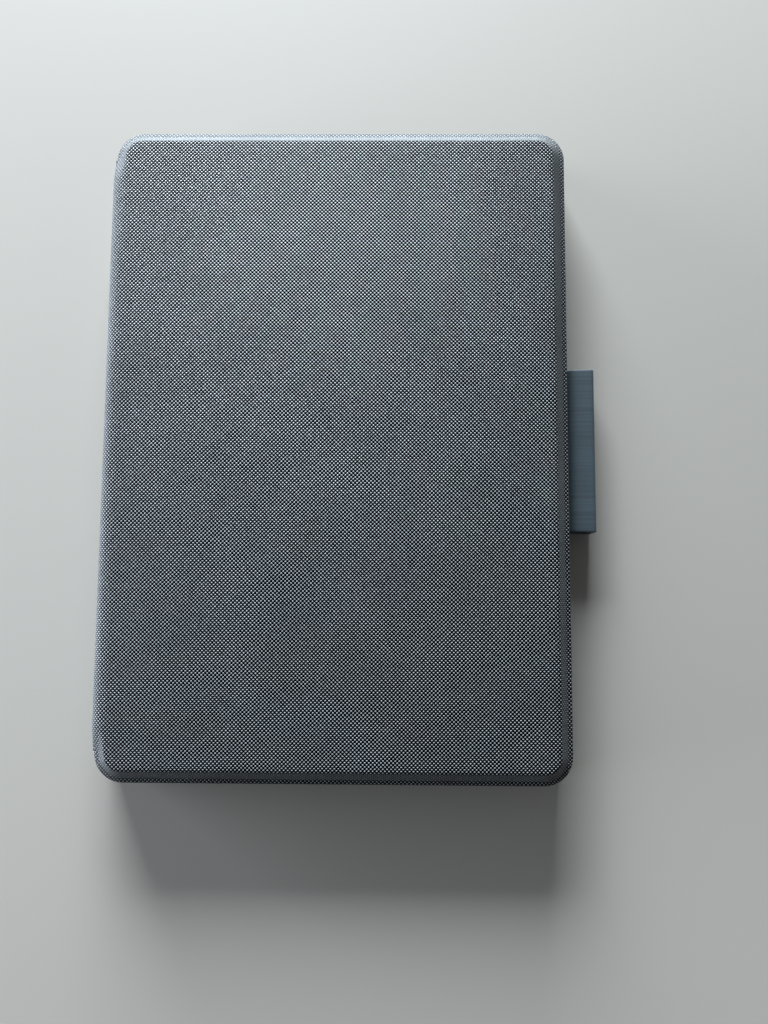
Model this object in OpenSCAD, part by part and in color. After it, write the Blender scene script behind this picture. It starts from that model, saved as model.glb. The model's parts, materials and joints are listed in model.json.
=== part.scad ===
// Keyboard folio case for a tablet: a fabric-covered book with a soft tray for the tablet in its
// lower half, a wireless keyboard in its upper half, a spine between them and a stylus loop.
//
// Millimetres. The case lies closed on its lower half. The origin is the middle of the flat base
// face, +X points from the spine to the free edge, +Y along the spine and +Z up.

/* [Tablet] */
// Length of the tablet that the tray holds
tablet_l = 250.6; // [225:0.1:305]
// Width of the tablet
tablet_w = 174.1; // [160:0.1:225]
// Thickness of the tablet
tablet_t = 7.5; // [6:0.1:9.5]
// Corner radius of the tablet
tablet_r = 7.5; // [5:0.5:15]

/* [Tray] */
// Air around the tablet in the tray
tablet_gap = 0.2; // [0.1:0.05:0.5]
// Wall thickness of the soft tray
tray_wall = 1.2; // [1:0.1:2]
// Floor thickness of the soft tray
tray_floor = 1.05; // [1:0.05:2]
// How far the tray's lip reaches over the tablet's front
tray_lip_w = 1.6; // [1:0.1:3]
// Thickness of that lip
tray_lip_t = 1.0; // [0.8:0.1:1.6]
// Diameter of the camera window
camera_d = 14; // [10:0.5:22]
// Wall of the ring that trims the camera window
camera_ring_wall = 1.2; // [0.8:0.1:2]
// Camera's distance from the tablet's two nearest edges
camera_in = 15; // [13:0.5:22]
// Length of one side button's pad
button_l = 12; // [8:0.5:16]
// Height of a side button's pad
button_h = 3.6; // [2.5:0.1:4.2]
// How far a side button stands proud of the tray
button_proud = 0.6; // [0.5:0.1:0.9]

/* [Covers] */
// Thickness of the woven outer fabric
fabric_t = 0.6; // [0.4:0.1:0.9]
// Thickness of the stiffening boards in the lower cover
board_t = 1.2; // [0.8:0.1:1.8]
// Thickness of the microfibre lining
lining_t = 0.4; // [0.3:0.1:0.6]
// Thickness of the formed shell under the upper fabric
shell_t = 0.9; // [0.7:0.1:1.3]
// Adhesive film between lining and tray
adhesive_t = 0.15; // [0.1:0.05:0.3]
// Width of the flat pressed lip around each cover
lip_w = 2; // [1.5:0.1:3]
// Width of the bevel between lip and raised panel
bevel_w = 3; // [2:0.1:4]
// Height of the upper cover's bevel
bevel_h = 3.4; // [2.9:0.1:3.9]
// Corner radius of the covers
corner_r = 11; // [10:0.5:16]
// How far the lip stands out past the tray
edge_margin = 1.3; // [1:0.1:2.5]
// Room between the cover's hinge edge and the tray
hinge_margin = 1.8; // [1.7:0.1:3]
// Depth of the fold-up stand panel, from the hinge edge to the crease
stand_w = 78; // [70:1:84]
// Width of the flexible crease between the two lower boards
crease_w = 3; // [2:0.5:5]

/* [Spine] */
// Thickness of the spine's board
spine_board_t = 0.9; // [0.6:0.1:1.1]
// How far the spine stands out past the covers
spine_proud = 0.8; // [0.7:0.1:1.2]

/* [Keyboard] */
// Air between the closed keyboard and the tray
closed_gap = 0.4; // [0.3:0.1:1]
// Inner height of the keyboard, from the deck's face to the chassis floor
kb_depth = 6.4; // [6.2:0.1:8]
// Floor thickness of the keyboard chassis
chassis_floor = 1.1; // [0.8:0.1:1.5]
// Wall thickness of the keyboard chassis
chassis_wall = 1.5; // [1:0.1:2.5]
// Thickness of the deck
deck_t = 1.2; // [1:0.1:1.5]
// Depth of the well that the keys stand in
well_depth = 1.9; // [1.8:0.1:2.1]
// Travel of a key
key_travel = 1.5; // [1:0.1:1.6]
// Depth of a key row, front to back
row_pitch = 16.6; // [15:0.1:18]
// Depth of the function row
fn_pitch = 10.6; // [9.6:0.1:12]
// Gap between neighbouring keys
key_gap = 2.4; // [2:0.1:3]
// Air around a key in its opening
key_air = 0.4; // [0.3:0.05:0.6]
// Height of a key cap
cap_h = 2.3; // [2:0.1:2.4]
// Thickness of a key cap's top
cap_top = 1.1; // [0.9:0.1:1.3]
// Wall of a key cap's skirt
cap_wall = 1.0; // [0.8:0.1:1.2]
// Deck width between the keys and the keyboard's edges
well_margin = 4; // [3.8:0.1:6]
// Distance from the hinge edge to the middle of the docking groove
dock_x = 70; // [64:1:74]
// Width of the docking groove
dock_w = 8; // [6:0.5:10]

/* [Battery] */
// Diameter of a coin cell
cell_d = 20; // [16:0.5:23]
// Thickness of a coin cell
cell_t = 3.2; // [2:0.1:3.2]
// Wall of the battery drawer around the cells
drawer_wall = 2; // [1.5:0.1:3]

/* [Stylus loop] */
// Diameter of the stylus
stylus_d = 8.9; // [7:0.1:9.5]
// Radial air around the stylus
stylus_air = 0.15; // [0.1:0.05:0.3]
// Length of the loop along the case
loop_l = 65; // [40:1:90]
// Wall of the loop beside the stylus
loop_side = 1.25; // [1:0.05:1.8]
// Wall of the loop above and below the stylus
loop_wall = 0.8; // [0.7:0.05:1.2]
// Thickness of the tab that is bonded into the cover
tab_t = 0.7; // [0.5:0.05:0.7]

/* [Hidden] */
$fn = 48;
eps = 0.01;

// Heights of the lower half, from the table up
low_lip_z = board_t;                       // outer face of the lower lip
board_z = fabric_t;                        // underside of the boards
lining_z = board_z + board_t;
adhesive_z = lining_z + lining_t;
tray_z = adhesive_z + adhesive_t;
pocket_z = tray_z + tray_floor;            // where the tablet lies
pocket_h = tablet_t + tablet_gap;
tray_lip_z = pocket_z + pocket_h;
tray_top = tray_lip_z + tray_lip_t;

// Heights of the keyboard half, which hangs face down over the tray
deck_z = tray_top + closed_gap;            // the deck's face
chassis_in = deck_z + kb_depth;            // inner face of the chassis floor
chassis_top = chassis_in + chassis_floor;
shell_air = 0.05;
shell_in = chassis_top + shell_air;
top_z = shell_in + shell_t + fabric_t;     // outer face of the upper cover
lip_z = top_z - bevel_h;                   // outer face of the upper lip
lip_low = lip_z - fabric_t - shell_t;      // underside of the upper lip
well_z = deck_z + well_depth;              // the well's face
well_t = 1;
key_sink = 0.3;                            // key tops lie this far below the deck's face
key_z = deck_z + key_sink;
skirt_z = key_z + cap_h;
under_key = key_z + cap_top;
link_h = key_travel + 1.5;                 // height of the key mechanism at rest
membrane_z = under_key + link_h;
membrane_t = 0.3;
plate_z = membrane_z + membrane_t;
plate_t = 0.5;

// Plan sizes. The covers' outline is centred on the origin.
tray_l = tablet_l + 2 * (tablet_gap + tray_wall);
tray_w = tablet_w + 2 * (tablet_gap + tray_wall);
case_l = tray_l + 2 * edge_margin;
case_w = tray_w + edge_margin + hinge_margin;
tray_x0 = -case_w / 2 + hinge_margin;
tray_x1 = tray_x0 + tray_w;
tray_cx = (tray_x0 + tray_x1) / 2;
tray_r = tablet_r + tablet_gap + tray_wall;

// How far a layer lies inside the covers' outline, on each bevel's slope
up_slope = bevel_w / bevel_h;
low_slope = bevel_w / low_lip_z;
function up_inset(z, t) = lip_w + bevel_w - (top_z - z) * up_slope + t * sqrt(1 + up_slope ^ 2);
function low_inset(z, t) = lip_w + bevel_w - z * low_slope + t * sqrt(1 + low_slope ^ 2);
board_air = 0.2;
board_in = low_inset(board_z, fabric_t) + board_air;
lining_in = 0.3;
kb_air = 0.3;
kb_in = up_inset(lip_low, fabric_t + shell_t) + kb_air;
kb_top_in = up_inset(shell_in, fabric_t + shell_t) + kb_air;
kb_x0 = -case_w / 2 + kb_in;
kb_x1 = case_w / 2 - kb_in;
kb_y = case_l / 2 - kb_in;

// The spine, outside in
spine_x = -case_w / 2 - spine_proud;
spine_end = 0.4;                           // air between the spine's board and the two lips
spine_l = case_l - 2 * corner_r;
crease_x = -case_w / 2 + stand_w;

// Tray openings, measured from the tablet's centre lines
port_w = 16;
port_h = 5;
speaker_w = 26;
speaker_x = 36;
jack_in = 17;
jack_more = 0.5;                           // the headphone hole's radius over half a port's height
power_in = 30;
volume_in = 38;
volume_pitch = 15;
button_air = 0.25;
opening_z = pocket_z + tablet_t / 2;
tablet_x1 = tray_cx + tablet_w / 2;
tablet_x0 = tray_cx - tablet_w / 2;
camera_x = tablet_x1 - camera_in;
camera_y = tablet_l / 2 - camera_in;
ring_air = 0.1;
ring_r = camera_d / 2 + camera_ring_wall;
ring_sink = 0.2;                           // the ring ends this far above the table
strip_t = 0.5;
strip_h = 5;
strip_end = 30;
adhesive_edge = 10;

// The stylus loop
bore_r = stylus_d / 2 + stylus_air;
loop_gap = 0.3;
loop_x = case_w / 2 + loop_gap + loop_side + bore_r;
loop_z = low_lip_z + loop_wall + bore_r;
loop_half_w = bore_r + loop_side;
loop_half_h = bore_r + loop_wall;
loop_r = 2.2;
tab_reach = 8;
tab_air = 0.05;
tab_end = 1.5;

// Key rows. Widths are in key units, from the user's left, which is +Y.
row_units = 14.5;
FN = [for (i = [0:13]) row_units / 14];
NUMBER = [1, 1, 1, 1, 1, 1, 1, 1, 1, 1, 1, 1, 1, 1.5];
UPPER = [1.5, 1, 1, 1, 1, 1, 1, 1, 1, 1, 1, 1, 1, 1];
HOME = [1.75, 1, 1, 1, 1, 1, 1, 1, 1, 1, 1, 1, 1.75];
LOWER = [2.5, 1, 1, 1, 1, 1, 1, 1, 1, 1, 1, 1, 1];
MODIFIER = [1, 1, 1, 1.25, 5, 1.25, 1, 1, 1, 1];
SPACE = 4;
well_x1 = kb_x1 - well_margin;
well_x0 = well_x1 - 5 * row_pitch - fn_pitch - key_gap / 2;
well_y = kb_y - well_margin;
key_u = (2 * well_y - key_gap) / row_units;
cap_corner = 1.2;
well_r = 2;                                // corner radius of the well
sheet_r = 4;                               // and of the sheets behind the keys
function row_x(i) = well_x1 - key_gap / 2 - (i + 0.5) * row_pitch;
fn_x = well_x1 - key_gap / 2 - 5 * row_pitch - fn_pitch / 2;
function widths_to(row, n) = n == 0 ? 0 : row[n - 1] + widths_to(row, n - 1);
function key_y(row, n) = well_y - key_gap / 2 - (widths_to(row, n) + row[n] / 2) * key_u;
all_keys = [0, 1, 2, 3, 4, 5, 6, 7, 8, 9, 10, 11, 12, 13];
form_fn = 32;                              // facets of the covers' rounded corners
link_t = 0.6;                              // thickness of a link's bars
link_bar = 0.7;                            // width of its side bars
link_end = 1.2;                            // width of its end bars
link_span = 8.6;                           // reach of a link, front to back
link_half_w = 4.4;                         // half width of the outer link, if the cap has room
link_air = 0.3;                            // air between a link and the cap's skirt
link_nest = 0.9;                           // how far the inner link lies inside the outer one
dome_air = 1.75;                           // from the outer link's side to the dome's foot
dome_neck = 0.55;                          // the neck's and the waist's share of the foot
dome_waist = 0.8;
dome_head = 0.5;                           // height of the neck, and of the waist over the foot
dome_rim = 0.3;                            // height of the foot's rim
space_link_at = 1.5;                       // key units from the space bar's middle to its links
function keys_of(row, skip) = [for (n = all_keys) if (n < len(row) && n != skip) n];

// The docking groove and the parts behind it
groove_x = -case_w / 2 + dock_x;
groove_depth = 0.8;
groove_end = 8;
grip_t = 0.6;
magnet = [6, 12, 1.6];
magnet_count = 8;
closer_l = 12;
closer_h = 1.4;
closer_air = 0.05;
closer_at = [-0.75, -0.25, 0.25, 0.75];    // their places, as shares of the keyboard's half length
board_x0 = groove_x - dock_w / 2 - 22;
pcb = [12, 84, 0.8];
pcb_y = -20;
chips = [[4, -30, 5, 5, 1], [6, -12, 7, 7, 1.1], [4, 8, 4, 3, 0.8], [8, 24, 3, 6, 1.4]];
ribbon_w = 18;
ribbon_t = 0.2;
ribbon_pad = 2;                            // half the length that lies on the board
ribbon_rise = 3;                           // length that lies at the membrane
light_r = 1;
light_y = 14;
light_rise = 1;                            // how far it stands up behind the deck

// The battery drawer, which pulls out along -Y
drawer_air = 0.3;
drawer_floor = 0.45;
drawer_front = 4;
drawer_w = cell_d + 2 * drawer_wall;
drawer_d = drawer_front + 2 * cell_d + 2 * drawer_wall;
drawer_h = drawer_floor + cell_t + 0.05;
drawer_cx = kb_x0 + chassis_wall + 4 + drawer_w / 2;
cell_air = 0.15;
contact_t = 0.2;
contact_gap = 0.3;
contact_w = 3;
grip_r = 1;
cell_step = 1;                             // the smaller pole's step, across and in height
cell_step_h = 0.6;

// Chassis screws
screw_r = 0.9;
screw_head_r = 1.8;
screw_head_t = 0.7;
screw_l = 4.2;
boss_r = 2.3;
boss_air = 0.05;
screw_in = 6.5;
screw_gap = 4;
screw_end = 0.3;                           // air at a screw's tip
drill_over = 1;                            // how far a drilling runs past its face
chassis_rib = 1;                           // thickness of the ribs beside the drawer
screw_back_x = kb_x0 + screw_in;
screw_front_x = groove_x - dock_w / 2 - screw_gap;
screw_y = kb_y - screw_in;

cloth_dark = "#3c4043";
lining_grey = "#4b4e52";
tray_grey = "#26292c";
loop_blue = "#3f4d58";
deck_grey = "#2b2e31";
key_grey = "#34373b";

// A rounded rectangle between two corners
module rounded(x0, x1, y0, y1, r) {
    translate([x0 + r, y0]) square([x1 - x0 - 2 * r, y1 - y0]);
    translate([x0, y0 + r]) square([x1 - x0, y1 - y0 - 2 * r]);
    for (x = [x0 + r, x1 - r], y = [y0 + r, y1 - r]) translate([x, y]) circle(r);
}

// A rounded plate between two heights
module plate(x0, x1, y0, y1, r, z0, z1) {
    translate([0, 0, z0]) linear_extrude(z1 - z0) rounded(x0, x1, y0, y1, r);
}

// A box between two corners
module box(x0, x1, y0, y1, z0, z1) {
    translate([x0, y0, z0]) cube([x1 - x0, y1 - y0, z1 - z0]);
}

// A plate with the covers' outline, pulled in by an inset
module cover_plate(inset, z0, z1) {
    x = case_w / 2 - inset;
    y = case_l / 2 - inset;
    plate(-x, x, -y, y, corner_r - inset, z0, z1);
}

// A solid that tapers from one inset outline to another
module cover_taper(inset0, z0, inset1, z1) {
    hull() {
        cover_plate(inset0, z0, z0 + eps, $fn = form_fn);
        cover_plate(inset1, z1 - eps, z1, $fn = form_fn);
    }
}

// Places its children at each of the screw points
module screw_points() {
    for (y = [-screw_y, -screw_y / 3, screw_y / 3, screw_y]) {
        if (y > -screw_y) translate([screw_back_x, y, 0]) children();
        translate([screw_front_x, y, 0]) children();
    }
}

// The plan of one key, cut at its corners
module key_plan(w, d, grow) {
    x = d / 2 + grow;
    y = w / 2 + grow;
    c = cap_corner;
    polygon([[x - c, -y], [x, c - y], [x, y - c], [x - c, y],
        [c - x, y], [-x, y - c], [-x, c - y], [c - x, -y]]);
}

// One hollow key cap, its top towards -Z
module key_cap(w, d) {
    difference() {
        translate([0, 0, key_z]) linear_extrude(cap_h) key_plan(w, d, 0);
        box(cap_wall - d / 2, d / 2 - cap_wall, cap_wall - w / 2, w / 2 - cap_wall,
            under_key, skirt_z + eps);
    }
}

// One link of a key's scissor: a frame that slopes from the cap to the membrane
module scissor_link(half_w, span, side) {
    end = side * span / 2;
    start = side * (span / 2 - 2 * link_t);
    inner_w = half_w - link_bar;
    inner_span = span / 2 - link_end;
    difference() {
        translate([half_w, 0, under_key]) rotate([90, 0, -90]) linear_extrude(2 * half_w)
            polygon([[-end, 0], [-start, 0], [end, link_h], [start, link_h]]);
        box(-inner_w, inner_w, -inner_span, inner_span, under_key - eps, membrane_z + eps);
    }
}

// Half width of the outer link under a key of a given depth
function outer_link(d) = min(link_half_w, d / 2 - cap_wall - link_air);

// The two crossed links under one key
module key_scissor(d) {
    outer = outer_link(d);
    scissor_link(outer, link_span, 1);
    scissor_link(outer - link_nest, link_span, -1);
}

// The silicone dome under one key
module key_dome(d) {
    foot = outer_link(d) - dome_air;
    neck = foot * dome_neck;
    translate([0, 0, under_key]) rotate_extrude()
        polygon([[0, 0], [neck, 0], [neck, dome_head], [foot * dome_waist, link_h - dome_head],
            [foot, link_h - dome_rim], [foot, link_h], [0, link_h]]);
}

// Caps, scissors and domes of one row
module row_caps(row, x, pitch, skip = -1) {
    color(key_grey) for (n = keys_of(row, skip))
        translate([x, key_y(row, n), 0]) key_cap(row[n] * key_u - key_gap, pitch - key_gap);
}

module row_scissors(row, x, pitch, skip = -1) {
    color("#d8d8d2") for (n = keys_of(row, skip))
        translate([x, key_y(row, n), 0]) key_scissor(pitch - key_gap);
}

module row_domes(row, x, pitch, skip = -1) {
    color("#e9ece8") for (n = keys_of(row, skip))
        translate([x, key_y(row, n), 0]) key_dome(pitch - key_gap);
}

// The space bar: one cap on two scissors and one dome
module space_cap() {
    color(key_grey) translate([row_x(0), key_y(MODIFIER, SPACE), 0])
        key_cap(MODIFIER[SPACE] * key_u - key_gap, row_pitch - key_gap);
}

module space_scissors() {
    color("#d8d8d2") for (s = [-1, 1])
        translate([row_x(0), key_y(MODIFIER, SPACE) + s * space_link_at * key_u, 0])
            key_scissor(row_pitch - key_gap);
}

module space_dome() {
    color("#e9ece8") translate([row_x(0), key_y(MODIFIER, SPACE), 0]) key_dome(row_pitch - key_gap);
}

// Openings for one row's keys in the deck
module row_openings(row, x, pitch) {
    for (n = keys_of(row, -1)) translate([x, key_y(row, n), well_z - eps])
        linear_extrude(well_t + 2 * eps)
            key_plan(row[n] * key_u - key_gap, pitch - key_gap, key_air);
}

// Lower half ------------------------------------------------------------------------------

module camera_cut() {
    translate([camera_x, camera_y, -eps])
        cylinder(pocket_z + 2 * eps, ring_r + ring_air, ring_r + ring_air);
}

module bottom_fabric() {
    color(cloth_dark) difference() {
        union() {
            cover_taper(lip_w + bevel_w, 0, lip_w, low_lip_z);
            cover_plate(0, low_lip_z, low_lip_z + fabric_t);
        }
        cover_taper(low_inset(board_z, fabric_t), board_z,
            low_inset(lining_z + eps, fabric_t), lining_z + eps);
        camera_cut();
    }
}

module main_board() {
    color("#8a8f94") difference() {
        plate(crease_x + crease_w / 2, case_w / 2 - board_in, board_in - case_l / 2,
            case_l / 2 - board_in, corner_r - board_in, board_z, lining_z);
        camera_cut();
    }
}

module stand_board() {
    color("#8a8f94") plate(board_in - case_w / 2, crease_x - crease_w / 2,
        board_in - case_l / 2, case_l / 2 - board_in, corner_r - board_in, board_z, lining_z);
}

module bottom_lining() {
    color(lining_grey) difference() {
        cover_plate(lining_in, lining_z, adhesive_z);
        camera_cut();
    }
}

module tray_adhesive() {
    color("#cfcfc8") difference() {
        box(crease_x + adhesive_edge, tray_x1 - tray_wall - adhesive_edge,
            adhesive_edge - tray_l / 2, tray_l / 2 - adhesive_edge, adhesive_z, tray_z);
        translate([camera_x, camera_y, adhesive_z - eps])
            cylinder(adhesive_t + 2 * eps, ring_r + adhesive_edge / 2, ring_r + adhesive_edge / 2);
    }
}

module tray_wall_cut(x, y, w, h, along) {
    lx = along == "x" ? w : 4 * tray_wall;
    ly = along == "x" ? 4 * tray_wall : w;
    translate([x - lx / 2, y - ly / 2, opening_z - h / 2]) cube([lx, ly, h]);
}

module tablet_tray() {
    y1 = tray_l / 2 - tray_wall / 2;
    slot = button_l + 2 * button_air;
    color(tray_grey) difference() {
        plate(tray_x0, tray_x1, -tray_l / 2, tray_l / 2, tray_r, tray_z, tray_top);
        plate(tray_x0 + tray_wall, tray_x1 - tray_wall, tray_wall - tray_l / 2,
            tray_l / 2 - tray_wall, tray_r - tray_wall, pocket_z, tray_lip_z);
        plate(tray_x0 + tray_wall + tray_lip_w, tray_x1 - tray_wall - tray_lip_w,
            tray_wall + tray_lip_w - tray_l / 2, tray_l / 2 - tray_wall - tray_lip_w,
            tray_r - tray_wall - tray_lip_w, tray_lip_z - eps, tray_top + eps);
        camera_cut();
        tray_wall_cut(tray_cx, -y1, port_w, port_h, "x");
        for (x = [-speaker_x, speaker_x]) tray_wall_cut(tray_cx + x, -y1, speaker_w, port_h, "x");
        translate([tablet_x0 + jack_in, y1 + 2 * tray_wall, opening_z]) rotate([90, 0, 0])
            cylinder(4 * tray_wall, port_h / 2 + jack_more, port_h / 2 + jack_more);
        tray_wall_cut(tablet_x1 - power_in, y1, slot, button_h + 2 * button_air, "x");
        for (n = [0, 1])
            tray_wall_cut(tray_x1 - tray_wall / 2, tablet_l / 2 - volume_in - n * volume_pitch,
                slot, button_h + 2 * button_air, "y");
        box(tray_x0 + tray_wall - strip_t, tray_x0 + tray_wall + eps, strip_end - tray_l / 2,
            tray_l / 2 - strip_end, opening_z - strip_h / 2, opening_z + strip_h / 2);
        box(case_w / 2 - tab_reach - tab_air, tray_x1 + eps, -loop_l / 2 + tab_end - tab_air,
            loop_l / 2 - tab_end + tab_air, tray_z - eps, adhesive_z + tab_t + tab_air);
    }
}

module tray_steel_strip() {
    color("silver") box(tray_x0 + tray_wall - strip_t + tab_air, tray_x0 + tray_wall,
        strip_end - tray_l / 2 + tab_air, tray_l / 2 - strip_end - tab_air,
        opening_z - strip_h / 2 + tab_air, opening_z + strip_h / 2 - tab_air);
}

module camera_ring() {
    color("#17181a") translate([camera_x, camera_y, ring_sink]) difference() {
        cylinder(pocket_z - ring_sink, ring_r, ring_r);
        translate([0, 0, -eps]) cylinder(pocket_z, camera_d / 2, camera_d / 2);
    }
}

// A button's pad: a bar with round ends, lying along Y, its face towards +X
module button_pad() {
    r = button_h / 2;
    translate([-tray_wall, 0, 0]) rotate([90, 0, 90])
        linear_extrude(tray_wall + button_proud) rounded(-button_l / 2, button_l / 2, -r, r, r - eps);
}

module power_button() {
    color(tray_grey) translate([tablet_x1 - power_in, tray_l / 2, opening_z])
        rotate([0, 0, 90]) button_pad();
}

module volume_button(n) {
    color(tray_grey) translate([tray_x1, tablet_l / 2 - volume_in - n * volume_pitch, opening_z])
        button_pad();
}

module stylus_loop() {
    y = loop_l / 2;
    color(loop_blue) difference() {
        union() {
            translate([loop_x, y, loop_z]) rotate([90, 0, 0]) linear_extrude(loop_l)
                rounded(-loop_half_w, loop_half_w, -loop_half_h, loop_half_h, loop_r);
            box(case_w / 2 - tab_reach, loop_x, tab_end - y, y - tab_end,
                adhesive_z, adhesive_z + tab_t);
        }
        translate([loop_x, y + eps, loop_z]) rotate([90, 0, 0])
            cylinder(loop_l + 2 * eps, bore_r, bore_r);
    }
}

// Spine ------------------------------------------------------------------------------------

module spine_layer(x, t, z0, z1) {
    translate([x, 0, 0]) box(0, t, -spine_l / 2, spine_l / 2, z0, z1);
}

module spine_fabric() {
    color(cloth_dark) spine_layer(spine_x, fabric_t, low_lip_z, lip_z);
}

module spine_board() {
    color("#8a8f94") spine_layer(spine_x + fabric_t, spine_board_t,
        adhesive_z + spine_end, lip_low - spine_end);
}

module spine_lining() {
    color(lining_grey) spine_layer(spine_x + fabric_t + spine_board_t, lining_t,
        adhesive_z + spine_end, lip_low - spine_end);
}

// Keyboard half ----------------------------------------------------------------------------

module top_cover_fabric() {
    color(cloth_dark) difference() {
        union() {
            cover_taper(lip_w, lip_z, lip_w + bevel_w, top_z);
            cover_plate(0, lip_z - fabric_t, lip_z);
        }
        cover_taper(up_inset(lip_z - fabric_t - eps, fabric_t), lip_z - fabric_t - eps,
            up_inset(top_z - fabric_t, fabric_t), top_z - fabric_t);
    }
}

module top_cover_shell() {
    depth = fabric_t + shell_t;
    color("#8a8f94") difference() {
        union() {
            cover_taper(up_inset(lip_z - fabric_t, fabric_t), lip_z - fabric_t,
                up_inset(top_z - fabric_t, fabric_t), top_z - fabric_t);
            cover_plate(lining_in, lip_low, lip_z - fabric_t);
        }
        cover_taper(up_inset(lip_low - eps, depth), lip_low - eps, up_inset(shell_in, depth), shell_in);
    }
}

module drawer_room(grow) {
    box(drawer_cx - drawer_w / 2 - grow, drawer_cx + drawer_w / 2 + grow, -kb_y - 2 * grow - eps,
        drawer_d + grow - kb_y, deck_z - eps, deck_z + drawer_h + grow);
}

module keyboard_chassis() {
    wall_z = deck_z + deck_t;
    rib = chassis_rib;
    color(deck_grey) difference() {
        union() {
            difference() {
                union() {
                    cover_plate(kb_in, wall_z, lip_low + eps);
                    cover_taper(kb_in, lip_low, kb_top_in, chassis_top);
                }
                cover_plate(kb_in + chassis_wall, wall_z - eps, lip_low + eps);
                cover_taper(kb_in + chassis_wall, lip_low,
                    up_inset(chassis_in, fabric_t + shell_t) + kb_air + chassis_wall, chassis_in);
            }
            for (s = [-1, 1]) translate([drawer_cx + s * (drawer_w / 2 + drawer_air + rib / 2), 0, 0])
                box(-rib / 2, rib / 2, kb_top_in - kb_in + chassis_wall - kb_y, drawer_d - kb_y,
                    wall_z, chassis_in + eps);
        }
        drawer_room(drawer_air);
        screw_points() translate([0, 0, chassis_in - eps]) cylinder(chassis_floor + 2 * eps,
            screw_r + boss_air, screw_r + boss_air);
        screw_points() translate([0, 0, chassis_top - screw_head_t - boss_air])
            cylinder(screw_head_t + drill_over, screw_head_r + boss_air, screw_head_r + boss_air);
    }
}

module keyboard_deck() {
    color(deck_grey) difference() {
        union() {
            cover_plate(kb_in, deck_z, deck_z + deck_t);
            plate(well_x0 - well_t, well_x1 + well_t, -well_y - well_t, well_y + well_t,
                well_r + well_t, deck_z + deck_t - eps, well_z + well_t);
            screw_points() translate([0, 0, deck_z + deck_t - eps])
                cylinder(kb_depth - deck_t - eps, boss_r, boss_r);
        }
        plate(well_x0, well_x1, -well_y, well_y, well_r, deck_z - eps, well_z + well_t + eps);
        box(groove_x - dock_w / 2, groove_x + dock_w / 2, groove_end - kb_y, kb_y - groove_end,
            deck_z - eps, deck_z + groove_depth);
        drawer_room(drawer_air);
        translate([well_x0 - 2 * light_r, light_y - well_y, deck_z - eps])
            cylinder(deck_t + well_depth + drill_over, light_r + boss_air, light_r + boss_air);
        screw_points() translate([0, 0, chassis_in - screw_l])
            cylinder(screw_l, screw_r + boss_air, screw_r + boss_air);
    }
}

// The grid that frames the keys, bonded into the deck's well
module key_frame() {
    color(deck_grey) difference() {
        plate(well_x0, well_x1, -well_y, well_y, well_r, well_z, well_z + well_t);
        row_openings(FN, fn_x, fn_pitch);
        row_openings(NUMBER, row_x(4), row_pitch);
        row_openings(UPPER, row_x(3), row_pitch);
        row_openings(HOME, row_x(2), row_pitch);
        row_openings(LOWER, row_x(1), row_pitch);
        row_openings(MODIFIER, row_x(0), row_pitch);
    }
}

module key_membrane() {
    color("#c9d3d6") plate(well_x0, well_x1, -well_y, well_y, sheet_r, membrane_z, plate_z);
}

module key_backing_plate() {
    color("#9a9ea2") plate(well_x0, well_x1, -well_y, well_y, sheet_r, plate_z, plate_z + plate_t);
}

module controller_board() {
    pcb_z = chassis_in - pcb[2];
    color("#1f6b43") {
        translate([board_x0, pcb_y - pcb[1] / 2, pcb_z]) cube(pcb);
        for (c = chips)
            translate([board_x0 + c[0] - c[2] / 2, pcb_y + c[1] - c[3] / 2, pcb_z - c[4]])
                cube([c[2], c[3], c[4]]);
    }
}

// A flat cable from the membrane's edge down to the controller board
module ribbon_cable() {
    pcb_z = chassis_in - pcb[2];
    x0 = board_x0 + pcb[0];
    near = x0 - ribbon_pad;
    bend = x0 + ribbon_pad;
    far = well_x0 - ribbon_rise;
    color("#e6e0cf") translate([0, pcb_y + ribbon_w / 2, 0])
        rotate([90, 0, 0]) linear_extrude(ribbon_w)
            polygon([[near, pcb_z - ribbon_t], [bend, pcb_z - ribbon_t], [far, membrane_z],
                [well_x0, membrane_z], [well_x0, membrane_z + ribbon_t],
                [far + ribbon_t, membrane_z + ribbon_t], [bend, pcb_z], [near, pcb_z]]);
}

module status_light() {
    color("#f4f7f4") translate([well_x0 - 2 * light_r, light_y - well_y, deck_z])
        cylinder(deck_t + light_rise, light_r, light_r);
}

module dock_grip_strip() {
    color("#202224") box(groove_x - dock_w / 2 + tab_air, groove_x + dock_w / 2 - tab_air,
        groove_end - kb_y + tab_air, kb_y - groove_end - tab_air,
        deck_z + groove_depth - grip_t, deck_z + groove_depth);
}

module dock_magnets() {
    pitch = (2 * kb_y - 2 * groove_end - magnet[1]) / (magnet_count - 1);
    color("#b9bcc0") for (n = [0:magnet_count - 1])
        translate([groove_x - magnet[0] / 2, groove_end - kb_y + n * pitch, deck_z + deck_t])
            cube(magnet);
}

module closing_magnets() {
    room = well_margin - well_t - chassis_wall;
    color("#b9bcc0") for (y = closer_at)
        translate([well_x1 + well_t + closer_air, y * kb_y - closer_l / 2, deck_z + deck_t])
            cube([room - 2 * closer_air, closer_l, closer_h]);
}

module chassis_screws() {
    color("silver") screw_points() {
        translate([0, 0, chassis_in - screw_l + screw_end])
            cylinder(screw_l - screw_end + chassis_floor - eps, screw_r, screw_r);
        translate([0, 0, chassis_top - screw_head_t])
            cylinder(screw_head_t, screw_head_r, screw_head_r);
    }
}

module cell_points() {
    for (n = [0, 1]) translate([drawer_cx, drawer_front + drawer_wall / 2 + cell_d / 2 - kb_y
        + n * (cell_d + drawer_wall), deck_z + drawer_floor]) children();
}

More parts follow.
